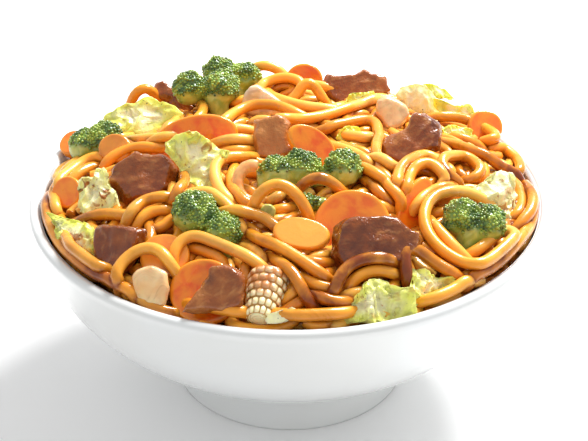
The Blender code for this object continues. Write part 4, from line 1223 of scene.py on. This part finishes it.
def capped_rings(rows, columns):
    """Faces of a body of rings between a first point and a last point."""
    faces = [(0, 1 + (column + 1) % columns, 1 + column) for column in range(columns)]
    faces += shifted(grid_faces(rows, columns), 1)
    last = rows * columns + 1
    start = last - columns
    faces += [(start + column, start + (column + 1) % columns, last)
              for column in range(columns)]
    return faces


def oriented(name, points, faces):
    """A closed mesh from points in millimetres with its faces turned outwards."""
    data = mesh_from(name, np.asarray(points) * MM, faces)
    mesh = bmesh.new()
    mesh.from_mesh(data)
    bmesh.ops.recalc_face_normals(mesh, faces=mesh.faces)
    mesh.to_mesh(data)
    mesh.free()
    return data


SLICE_COLUMNS = 84
SLICE_FRONT = 14                # rings on its face
SLICE_EDGE = 1.1                # radius of its edge, in millimetres
SLICE_EDGE_POINTS = 5
SLICE_WOBBLE = 0.025            # how far its outline strays, as a share of its radius
SLICE_WAVE = 0.45               # how far its face bulges, in millimetres


def make_slice(node, material):
    """A round slice with a softly rounded edge."""
    pale, sauce = CARROTS[node]
    middle, axes, half = own_axes(node)
    seed = seed_of(node)
    edge = min(SLICE_EDGE, half[2] * 0.8)
    mean = (half[0] + half[1]) / 2
    profile = [(share * (mean - edge) / mean, half[2])
               for share in np.linspace(0, 1, SLICE_FRONT)[1:-1]]
    for step in range(SLICE_EDGE_POINTS + 1):
        turn = math.pi / 2 * (1 - step / SLICE_EDGE_POINTS)
        profile.append(((mean - edge + edge * math.cos(turn)) / mean,
                        half[2] - edge + edge * math.sin(turn)))
    profile += [(out, -height) for out, height in reversed(profile)]
    angle, ring = unit_ring(SLICE_COLUMNS)
    wobble = 1 + SLICE_WOBBLE * noise_at(np.column_stack([ring * 1.2, angle * 0]), 1.0, seed)
    rows = [np.column_stack([ring * out * wobble[:, None] * half[:2],
                             np.full(SLICE_COLUMNS, height)]) for out, height in profile]
    points = np.vstack([(0.0, 0.0, half[2]), *rows, (0.0, 0.0, -half[2])])
    points[:, 2] += SLICE_WAVE * noise_at(points * (1, 1, 0), 9.0, seed)
    points = np.clip(points, -half, half)
    data = oriented(node + "_slice", middle + points @ axes,
                    capped_rings(len(profile), SLICE_COLUMNS))
    outs = np.repeat([out for out, _ in profile], SLICE_COLUMNS)
    set_attributes(data, out=[0.0, *outs, 0.0], pale=pale, sauce=sauce)
    return add_piece(node + "_slice", data, material, (node,))


def make_meat(node, material):
    """A chunk of meat with lumps, fibres and a film of sauce."""
    left, right, grain, wet = MEATS[node]
    data, points, seed = finely_meshed(node, MEAT_WEAR)
    middle, axes, half = own_axes(node)
    local = (points - middle) @ axes.T
    swell = noise_at(points, MEAT_SWELL[0], seed)
    lumps = noise_at(points, MEAT_LUMPS[0], seed + 1)
    folds = 1 - 2 * np.abs(noise_at(local * (0.6, 1, 1), MEAT_FOLDS[0], seed + 3))
    fibres = noise_at(local * (0.4, 1, 1), MEAT_FIBRES[0], seed + 5, 2)
    push_out(data, points, MEAT_SWELL[1] * swell + MEAT_LUMPS[1] * lumps + MEAT_FOLDS[1] * folds
             + MEAT_FIBRES[1] * grain * fibres - MEAT_SINK)
    share = np.clip((points[:, 0] - middle[0]) / (2 * half[0]) + 0.5, 0, 1)
    share = np.clip(share + 0.15 * swell, 0, 1) ** 2 * (3 - 2 * np.clip(share, 0, 1))
    # The crease value paints shade into the meat's folds and hollows.
    set_attributes(data, tan=left + (right - left) * share, fibre=fibres,
                   crease=np.clip(-0.8 * folds - lumps, 0, 1), sauce=wet)
    return add_piece(node + "_chunk", data, material, (node,))


LEAF_RINGS = 30
LEAF_COLUMNS = 120
LEAF_HALF_THICKNESS = 0.35
LEAF_LAYERS = ((0.55, 1.0), (-0.55, 0.95))      # level over the leaf's middle, share of its size
LEAF_INSIDE = 0.94              # where the solid's height is read, as a share of the outline
LEAF_EDGE_THINNING = 0.75


def level_axes(node):
    """A leaf's middle in millimetres and its axes as rows: level across, up, out of its face."""
    points = points_of(solid(node)) / MM
    middle = points.mean(axis=0)
    out = np.linalg.svd(points - middle, full_matrices=False)[2][2]
    out = out * math.copysign(1.0, out @ SHOWN_SIDE)
    across = np.cross((0.0, 0.0, 1.0), out)
    across /= np.linalg.norm(across)
    return middle, np.array((across, np.cross(out, across), out))


def reach_of(node, middle, axes, turns):
    """How far a node's outline lies from its middle in each direction of its own plane."""
    data = solid(node)
    flat = ((points_of(data) / MM - middle) @ axes.T)[:, :2]
    ends = np.array([edge.vertices[:] for edge in data.edges])
    start, run = flat[ends[:, 0]], flat[ends[:, 1]] - flat[ends[:, 0]]
    reach = np.zeros(len(turns))
    for index, turn in enumerate(turns):
        x, y = math.cos(turn), math.sin(turn)
        cross = x * run[:, 1] - y * run[:, 0]
        cross[np.abs(cross) < 1e-9] = 1e-9
        along = (start[:, 0] * run[:, 1] - start[:, 1] * run[:, 0]) / cross
        share = (start[:, 0] * y - start[:, 1] * x) / cross
        reach[index] = along[(share >= 0) & (share <= 1)].max()
    return reach


def height_on(node, middle, axes, flat):
    """The height of a thin node's mid surface over its own plane at each point."""
    data = solid(node)
    tree = BVHTree.FromPolygons([vertex.co / MM for vertex in data.vertices],
                                [face.vertices[:] for face in data.polygons])
    out = Vector(axes[2])
    heights = np.zeros(len(flat))
    for index, point in enumerate(flat):
        base = Vector(middle + point @ axes[:2])
        front = tree.ray_cast(base + out * 30, -out)[0]
        back = tree.ray_cast(base - out * 30, out)[0]
        if front is not None and back is not None:
            heights[index] = ((front + back) / 2 - base).dot(out)
    return heights


def leaf_layer(node, middle, axes, number):
    """A crumpled sheet in a leaf's own axes: points, how near the edge, how high its folds."""
    _, _, depth, size = LEAVES[node]
    level, spread = LEAF_LAYERS[number]
    seed = seed_of(node) + 7 * number
    angle, ring = unit_ring(LEAF_COLUMNS)
    reach = reach_of(node, middle, axes, angle)
    ragged = noise_at(np.column_stack([ring * reach[:, None], angle * 0]), 3.0, seed, 2)
    outline = ring * ((reach + 0.5 * ragged) * spread)[:, None]
    shares = np.linspace(0, 1, LEAF_RINGS)[1:]
    flat = np.vstack([[(0.0, 0.0)]] + [outline * share for share in shares])
    edge = np.concatenate([[0.0], np.repeat(shares, LEAF_COLUMNS)])
    place = np.column_stack([flat, np.full(len(flat), level * 7.0)])
    bend = np.column_stack([noise_at(place, size * 1.2, seed + 11 + step) for step in range(3)])
    bent = place + bend * size * 0.4
    large = 1 - 2.6 * np.abs(noise_at(bent * (1.0, 0.55, 1.0), size, seed + 1))
    small = 1 - 2.4 * np.abs(noise_at(bent * (1.0, 0.7, 1.0), size * 0.4, seed + 2))
    fold = 0.7 * large + 0.3 * small
    frill = noise_at(place, size * 0.5, seed + 4) * np.clip(edge - 0.7, 0, 1) / 0.3
    base = height_on(node, middle, axes, flat * LEAF_INSIDE)
    height = base + level + depth * (fold + 0.8 * frill - 0.3)
    return np.column_stack([flat + bend[:, :2] * 0.8, height]), edge, fold


def make_leaf(node, material):
    """Two crumpled sheets, one over the other, each closed round its edge."""
    green, stain, _, _ = LEAVES[node]
    middle, axes = level_axes(node)
    points, edges, folds, faces = [], [], [], []
    columns = range(LEAF_COLUMNS)
    fan = [(0, 1 + column, 1 + (column + 1) % LEAF_COLUMNS) for column in columns]
    body = shifted(grid_faces(LEAF_RINGS - 1, LEAF_COLUMNS), 1)
    for number in range(len(LEAF_LAYERS)):
        sheet, edge, fold = leaf_layer(node, middle, axes, number)
        for side in (LEAF_HALF_THICKNESS, -LEAF_HALF_THICKNESS):
            first = sum(len(part) for part in points)
            thin = side * (1 - LEAF_EDGE_THINNING * edge ** 6)
            points.append(sheet + np.column_stack([0 * thin, 0 * thin, thin]))
            edges.append(edge)
            folds.append(fold)
            faces += shifted(fan + body, first)
        low = first + 1 + (LEAF_RINGS - 2) * LEAF_COLUMNS
        high = low - len(sheet)
        faces += [(high + column, high + (column + 1) % LEAF_COLUMNS,
                   low + (column + 1) % LEAF_COLUMNS, low + column) for column in columns]
    data = oriented(node + "_leaf", middle + np.vstack(points) @ axes, faces)
    set_attributes(data, edge=np.concatenate(edges), fold=np.concatenate(folds), green=green,
                   stain=stain)
    return add_piece(node + "_leaf", data, material, (node,))


def bud_tree():
    """Buds scattered on a mesh as its head attribute says, joined to it."""
    tree, source = new_geometry_group("broccoli_buds", ("Radius", "Float"), ("Spacing", "Float"),
                                      ("Seed", "Int"))
    spots = add_node(tree, "GeometryNodeDistributePointsOnFaces", {
        "Mesh": source["Geometry"], "Distance Min": source["Spacing"], "Density Max": 3000000.0,
        "Density Factor": named_attribute(tree, "head"), "Seed": source["Seed"]},
        distribute_method="POISSON")
    ball = add_node(tree, "GeometryNodeMeshUVSphere", {
        "Segments": 6, "Rings": 4, "Radius": source["Radius"]})
    bud = add_node(tree, "GeometryNodeStoreNamedAttribute", {
        "Geometry": ball.outputs["Mesh"], "Name": "bud", "Value": 1.0},
        data_type="FLOAT", domain="POINT")
    size = add_node(tree, "FunctionNodeRandomValue", {
        2: 0.7, 3: 1.35, "Seed": source["Seed"]}, data_type="FLOAT")
    placed = add_node(tree, "GeometryNodeInstanceOnPoints", {
        "Points": spots.outputs["Points"], "Instance": bud.outputs["Geometry"],
        "Rotation": spots.outputs["Rotation"], "Scale": size.outputs[1]})
    joined = tree.nodes.new("GeometryNodeJoinGeometry")
    link(tree, source["Geometry"], joined.inputs[0])
    link(tree, placed.outputs["Instances"], joined.inputs[0])
    return close_geometry_group(tree, source, joined.outputs["Geometry"])


def make_floret(node, material, tree):
    """A floret: knobbly heads of buds on a smooth stem."""
    bud = bpy.context.scene.yakisoba_toppings.bud
    place, facing, heads = FLORETS[node]
    axes = facing_axes(facing)
    data, points, seed = finely_meshed(node, FLORET_WEAR)
    near = np.full(len(points), -9.0)
    for across, up, radius in heads:
        centre = np.array(place) + across * axes[0] + up * axes[1]
        near = np.maximum(near, radius + HEAD_EDGE - np.linalg.norm(points - centre, axis=1))
    head = np.clip(near / HEAD_EDGE + 0.5, 0, 1)
    head *= np.clip(((points - np.array(place)) @ axes[1] - HEAD_FROM) / 2, 0, 1)
    cells = np.array([noise.voronoi(Vector(point / KNOB_SIZE) + Vector((seed, 0, 0)))[0][0]
                      for point in points])
    push_out(data, points,
             head * (0.9 - 2.0 * cells) + (1 - head) * 0.35 * noise_at(points, 3.0, seed))
    set_attributes(data, head=head)
    made = through_nodes(data, node + "_shape", tree, radius=bud, spacing=bud * BUD_SPACING,
                         seed=seed, material=material)
    return add_piece(node + "_floret", made, material, (node,))


def make_corn(material):
    """The end of a cob: staggered kernels round a flat core."""
    columns = CORN_ROWS * 10
    angle, circle = unit_ring(columns)
    points, kernels = [(0, 0, -CORN_HALF)], [0.0]
    for step in range(CORN_STEPS):
        share = step / (CORN_STEPS - 1)
        along = -CORN_HALF + 2 * CORN_HALF * share
        radius = CORN_CUT + (CORN_TIP - CORN_CUT) * share ** 1.6
        number = (CORN_HALF - along) / KERNEL_LENGTH
        stagger = 0.5 * (math.floor(number) % 2)
        across = np.abs((angle / math.tau * CORN_ROWS + stagger) % 1 * 2 - 1)
        length = min(number % 1 * 1.1, 1)
        rise = np.clip(1 - across ** 2.5, 0, 1) * math.sin(math.pi * length) ** 0.7
        ring = radius - 0.3 + KERNEL_RISE * rise
        points.extend(np.column_stack([circle * ring[:, None], along + 0.5 * rise]))
        kernels.extend(rise)
    for radius, sink in CORN_END_RINGS:
        height = np.full(columns, CORN_HALF + CORN_END - sink)
        points.extend(np.column_stack([circle * radius, height]))
        # Deeper rings of the cut end get a lower value, which paints shade into them.
        kernels.extend([0.4 if sink > 0.3 else 0.8] * columns)
    points.append((0, 0, CORN_HALF + CORN_END))
    data = oriented("cob", np.array(CORN_PLACE) + np.array(points) @ facing_axes(CORN_FACING),
                    capped_rings(CORN_STEPS + len(CORN_END_RINGS), columns))
    set_attributes(data, kernel=kernels + [0.8])
    return add_piece("cob", data, material, ("baby_corn",))


def make_smooth(node, material, uneven=0.25):
    """A soft piece that keeps its solid's shape with its edges worn."""
    data, points, seed = finely_meshed(node, SOFT_WEAR)
    push_out(data, points, uneven * noise_at(points, 5.0, seed, 2))
    return add_piece(node + "_piece", data, material, (node,))


def carrot_material():
    material, tree, surface = new_material(
        "carrot", Subsurface_Weight=0.12, Subsurface_Scale=0.002, Coat_Weight=0.6,
        Coat_Roughness=0.07, Specular_IOR_Level=0.3, Subsurface_Radius=(1.0, 0.35, 0.1))
    body = mix_colour(tree, patches(tree, 0.007, 0.35, 0.65)["Mask"],
                      bpy.context.scene.yakisoba_toppings.carrot, (0.93, 0.25, 0.006))
    whole = mix_colour(tree, attribute(tree, "pale"), body, (0.86, 0.40, 0.06))
    ring = span(tree, attribute(tree, "out"), 0.80, 0.93)
    edged = mix_colour(tree, times(tree, ring, 0.65), whole, (0.95, 0.36, 0.015))
    paint(tree, surface, *film_over(tree, edged, attribute(tree, "sauce"), 0.014, 0.28, 0.12))
    fine_grain(tree, surface, 0.0015, 0.0002, 0.35)
    return material


def meat_material():
    material, tree, surface = new_material("meat", Coat_Weight=0.85, Coat_Roughness=0.08,
                                           Specular_IOR_Level=0.2)
    level = math_node(tree, "ADD", times(tree, patches(tree, 0.004)["Noise"], 0.9),
                      attribute(tree, "tan"))
    low = mix_colour(tree, span(tree, level, 0.40, 0.95), (0.10, 0.018, 0.002),
                     bpy.context.scene.yakisoba_toppings.meat)
    high = mix_colour(tree, span(tree, level, 0.8, 1.5), low, (0.52, 0.19, 0.037))
    thread = times(tree, span(tree, attribute(tree, "fibre"), 0.0, 0.9), 0.45)
    thready = mix_colour(tree, thread, high, (0.60, 0.27, 0.075))
    # Painted shade: the creases are mixed towards a near black brown.
    painted_crease_shade = mix_colour(tree, times(tree, attribute(tree, "crease"), 0.8), thready,
                         (0.075, 0.015, 0.004))
    paint(tree, surface, *film_over(tree, painted_crease_shade, attribute(tree, "sauce"), 0.012, 0.42, 0.12))
    fine_grain(tree, surface, 0.0011, 0.0006, 0.8, bend=0.2)
    return material


def cabbage_material():
    material, tree, surface = new_material(
        "cabbage", Roughness=0.34, Subsurface_Weight=0.3, Subsurface_Scale=0.002,
        Coat_Weight=0.3, Coat_Roughness=0.15, Specular_IOR_Level=0.35,
        Subsurface_Radius=(0.9, 1.0, 0.35))
    fold, green = attribute(tree, "fold"), attribute(tree, "green")
    cloud = times(tree, patches(tree, 0.006)["Noise"], 0.8)
    outer = math_node(tree, "ADD", attribute(tree, "edge"), cloud)
    share = times(tree, green, span(tree, outer, 0.60, 1.3))
    body = mix_colour(tree, times(tree, share, 1.5, clamp=True), (0.97, 0.92, 0.55),
                      (0.76, 0.80, 0.11))
    crest = times(tree, span(tree, fold, 0.4, 0.95), green)
    ridged = mix_colour(tree, times(tree, crest, 0.8, clamp=True), body, (0.78, 0.84, 0.03))
    # Painted shade: the troughs of the folds are mixed towards a dull brown.
    low = times(tree, span(tree, fold, 0.0, -1.0), 0.6)
    trough_shaded = mix_colour(tree, low, ridged, (0.58, 0.38, 0.04))
    spots = patches(tree, 0.004, 0.56, 0.70, Detail=2.0)["Mask"]
    level = times(tree, spots, attribute(tree, "stain"))
    marked = mix_colour(tree, times(tree, level, 2.2, clamp=True), trough_shaded, (0.36, 0.12, 0.012))
    specks = patches(tree, 0.0011, 0.73, 0.77, Detail=1.0)["Mask"]
    paint(tree, surface, mix_colour(tree, specks, marked, (0.09, 0.07, 0.015)))
    fine_grain(tree, surface, 0.002, 0.0005, 0.7, bend=1.5)
    return material


def broccoli_material():
    material, tree, surface = new_material(
        "broccoli", Subsurface_Weight=0.1, Subsurface_Scale=0.001, Coat_Weight=0.5,
        Coat_Roughness=0.16)
    bud = attribute(tree, "bud")
    cloud = patches(tree, 0.005, 0.40, 0.62)["Mask"]
    small = patches(tree, 0.0016, 0.35, 0.65)
    sauced = patches(tree, 0.008, 0.56, 0.68)["Mask"]
    stem = mix_colour(tree, cloud, (0.52, 0.56, 0.12), (0.30, 0.40, 0.06))
    gap = mix_colour(tree, cloud, (0.05, 0.13, 0.015), (0.20, 0.32, 0.04))
    base = mix_colour(tree, attribute(tree, "head"), stem, gap)
    dark = mix_colour(tree, small["Mask"], (0.045, 0.10, 0.010), (0.15, 0.26, 0.025))
    lit = mix_colour(tree, times(tree, cloud, 0.85), dark, (0.40, 0.52, 0.06))
    purple = mix_colour(tree, times(tree, sauced, 0.55), lit, (0.14, 0.055, 0.040))
    paint(tree, surface, mix_colour(tree, bud, base, purple), mix_value(tree, bud, 0.30, 0.42))
    bump(tree, surface, small["Noise"], 0.0003, 0.4)
    return material


def soft_material(name, light, dark, sauce):
    """Mushroom, onion: a soft pale flesh in two tones under a film of brown sauce."""
    material, tree, surface = new_material(
        name, Subsurface_Weight=0.25, Subsurface_Scale=0.003, Coat_Weight=0.5,
        Coat_Roughness=0.1)
    body = mix_colour(tree, patches(tree, 0.009)["Mask"], light, dark)
    paint(tree, surface, *film_over(tree, body, sauce, 0.006, 0.35, 0.15))
    fine_grain(tree, surface, 0.002, 0.0003, 0.3)
    return material


def corn_material():
    material, tree, surface = new_material(
        "corn", Roughness=0.35, Subsurface_Weight=0.25, Subsurface_Scale=0.002, Coat_Weight=0.3)
    # Painted shade: low kernel values, between the kernels and in the sunk rings of the cut end,
    # are mixed towards brown.
    body = mix_colour(tree, span(tree, attribute(tree, "kernel"), 0.05, 0.6),
                      (0.48, 0.24, 0.04), (0.96, 0.84, 0.50))
    place = add_node(tree, "ShaderNodeTexCoord").outputs["Object"]
    height = add_node(tree, "ShaderNodeSeparateXYZ", {"Vector": place}).outputs["Z"]
    top = times(tree, span(tree, height, 0.0865, 0.0920), patches(tree, 0.006, 0.3, 0.6)["Mask"])
    paint(tree, surface, mix_colour(tree, times(tree, top, 0.9), body, (0.55, 0.17, 0.02)))
    return material


# ------------------------------------------------------------------ operators

class YAKISOBA_OT_bowl(bpy.types.Operator):
    """Turn the porcelain bowl"""
    bl_idname = "yakisoba.bowl"
    bl_label = "Bowl"

    def execute(self, context):
        data = turned("porcelain_bowl", bowl_profile(), context.scene.yakisoba_bowl.steps)
        add_piece("porcelain_bowl", data, porcelain_material(), ("bowl",))
        return {"FINISHED"}


class YAKISOBA_OT_noodles(bpy.types.Operator):
    """Lay the noodles on their core"""
    bl_idname = "yakisoba.noodles"
    bl_label = "Noodles"

    def execute(self, context):
        settings = context.scene.yakisoba_noodles
        add_piece("noodle_core", make_core(), core_material(), ("noodle_heap",))
        radius = settings.radius / MM
        rng = np.random.default_rng(settings.seed)
        toppings = toppings_tree()
        top = lay_on_top(ROUTES, toppings, radius)
        lower = lay_under(rng, settings.under * 2 // 5, *LOWER_LAYER)
        upper = [tuck_behind(points, toppings, radius)
                 for points in lay_under(rng, settings.under * 3 // 5, *UPPER_LAYER)]
        counts = [len(lower), len(upper), len(top)]
        strands = settle(lower + upper + top, np.repeat(LAYER_PINS, counts),
                         np.repeat(LAYER_LIMITS, counts), radius)
        below = len(lower) + len(upper)
        strands[:below] = [tuck_behind(points, toppings, radius) for points in strands[:below]]
        under = [(points, rng.uniform(0.15, 0.65), rng.uniform(0.05, 0.35))
                 for points in strands[:below]]
        top = [(points, tone, sauce)
               for points, (tone, sauce, *_) in zip(strands[below:], ROUTES)]
        material, tree = noodle_material(), noodle_tree()
        lines = centre_lines(strands)
        make_noodles("noodles_under", under, 0, lines, tree, material, settings.sides_under)
        make_noodles("noodles_top", top, len(under), lines, tree, material, settings.sides)
        return {"FINISHED"}


class YAKISOBA_OT_carrots(bpy.types.Operator):
    """Cut the carrot slices"""
    bl_idname = "yakisoba.carrots"
    bl_label = "Carrots"

    def execute(self, context):
        material = carrot_material()
        for node in nodes_named("carrot"):
            make_slice(node, material)
        return {"FINISHED"}


class YAKISOBA_OT_meat(bpy.types.Operator):
    """Shape the pieces of meat"""
    bl_idname = "yakisoba.meat"
    bl_label = "Meat"

    def execute(self, context):
        material = meat_material()
        for node in nodes_named("meat"):
            make_meat(node, material)
        return {"FINISHED"}


class YAKISOBA_OT_cabbage(bpy.types.Operator):
    """Crumple the cabbage leaves"""
    bl_idname = "yakisoba.cabbage"
    bl_label = "Cabbage"

    def execute(self, context):
        material = cabbage_material()
        for node in nodes_named("cabbage"):
            make_leaf(node, material)
        return {"FINISHED"}


class YAKISOBA_OT_broccoli(bpy.types.Operator):
    """Grow the broccoli florets"""
    bl_idname = "yakisoba.broccoli"
    bl_label = "Broccoli"

    def execute(self, context):
        material, tree = broccoli_material(), bud_tree()
        for node in nodes_named("broccoli"):
            make_floret(node, material, tree)
        return {"FINISHED"}


class YAKISOBA_OT_soft_pieces(bpy.types.Operator):
    """Shape the mushrooms, the onion and the baby corn"""
    bl_idname = "yakisoba.soft_pieces"
    bl_label = "Mushroom, onion, corn"

    def execute(self, context):
        mushroom = soft_material("mushroom", (0.92, 0.68, 0.36), (0.86, 0.48, 0.18), 0.25)
        onion = soft_material("onion", (0.95, 0.86, 0.62), (0.90, 0.54, 0.18), 0.30)
        strip = soft_material("onion_strip", (0.90, 0.56, 0.22), (0.84, 0.34, 0.08), 0.20)
        for node in nodes_named("mushroom"):
            make_smooth(node, mushroom)
        make_smooth("onion_back", onion)
        make_smooth("onion_strip", strip, 0.1)
        make_corn(corn_material())
        return {"FINISHED"}


class YAKISOBA_OT_stage(bpy.types.Operator):
    """Set the floor, the lights and the camera"""
    bl_idname = "yakisoba.stage"
    bl_label = "Stage"

    def execute(self, context):
        settings = context.scene.yakisoba_stage
        scene = context.scene
        scene.view_settings.view_transform = "Standard"
        world = bpy.data.worlds.new("white_room")
        world.use_nodes = True
        tree = world.node_tree
        sky = tree.nodes["Background"]
        sky.inputs["Color"].default_value = (1.0, 1.0, 1.0, 1.0)
        seen = add_node(tree, "ShaderNodeLightPath").outputs["Is Camera Ray"]
        link(tree, mix_value(tree, seen, settings.fill, 1.0), sky.inputs["Strength"])
        scene.world = world
        camera = held(bpy.data.cameras.new("camera"), "camera")
        camera.data.lens = settings.lens
        camera.data.shift_x = settings.shift
        camera.location = (0.0, -settings.distance * math.cos(settings.pitch),
                           settings.aim + settings.distance * math.sin(settings.pitch))
        camera.rotation_euler = (math.pi / 2 - settings.pitch, 0.0, 0.0)
        scene.camera = camera
        corners = [(x * FLOOR_HALF, y * FLOOR_HALF, 0)
                   for x, y in ((-1, -1), (1, -1), (1, 1), (-1, 1))]
        floor = held(mesh_from("floor", corners, [(0, 1, 2, 3)]), "floor")
        material, tree, surface = new_material("white_floor", Roughness=0.9)
        cloud = patches(tree, 0.5, 0.4, 0.6)["Mask"]
        paint(tree, surface, mix_colour(tree, cloud, (0.93, 0.93, 0.93), (0.95, 0.95, 0.95)))
        floor.data.materials.append(material)
        key = held(bpy.data.lights.new("key", "AREA"), "key")
        key.data.energy = settings.key
        key.data.shape = "DISK"
        key.data.size = KEY_SIZE
        key.location = KEY_PLACE
        key.rotation_euler = (Vector(KEY_AIM) - Vector(KEY_PLACE)).to_track_quat(
            "-Z", "Y").to_euler()
        return {"FINISHED"}


class YAKISOBA_PT_panel(bpy.types.Panel):
    """Settings and steps of the yakisoba bowl"""
    bl_label = "Yakisoba"
    bl_idname = "YAKISOBA_PT_panel"
    bl_space_type = "VIEW_3D"
    bl_region_type = "UI"
    bl_category = "Yakisoba"

    def draw(self, context):
        for name, settings in SETTINGS:
            group = getattr(context.scene, name)
            box = self.layout.box()
            for field in settings.__annotations__:
                box.prop(group, field)
        for operator in OPERATORS:
            self.layout.operator(operator.bl_idname)


OPERATORS = (
    YAKISOBA_OT_bowl,
    YAKISOBA_OT_noodles,
    YAKISOBA_OT_carrots,
    YAKISOBA_OT_meat,
    YAKISOBA_OT_cabbage,
    YAKISOBA_OT_broccoli,
    YAKISOBA_OT_soft_pieces,
    YAKISOBA_OT_stage,
)


def register():
    for name, settings in SETTINGS:
        bpy.utils.register_class(settings)
        setattr(bpy.types.Scene, name, bpy.props.PointerProperty(type=settings))
    for operator in OPERATORS:
        bpy.utils.register_class(operator)
    bpy.utils.register_class(YAKISOBA_PT_panel)


def unregister():
    bpy.utils.unregister_class(YAKISOBA_PT_panel)
    for operator in reversed(OPERATORS):
        bpy.utils.unregister_class(operator)
    for name, settings in reversed(SETTINGS):
        delattr(bpy.types.Scene, name)
        bpy.utils.unregister_class(settings)


def main():
    register()
    for operator in OPERATORS:
        group, _, action = operator.bl_idname.partition(".")
        getattr(getattr(bpy.ops, group), action)()


if __name__ == "__main__":
    main()
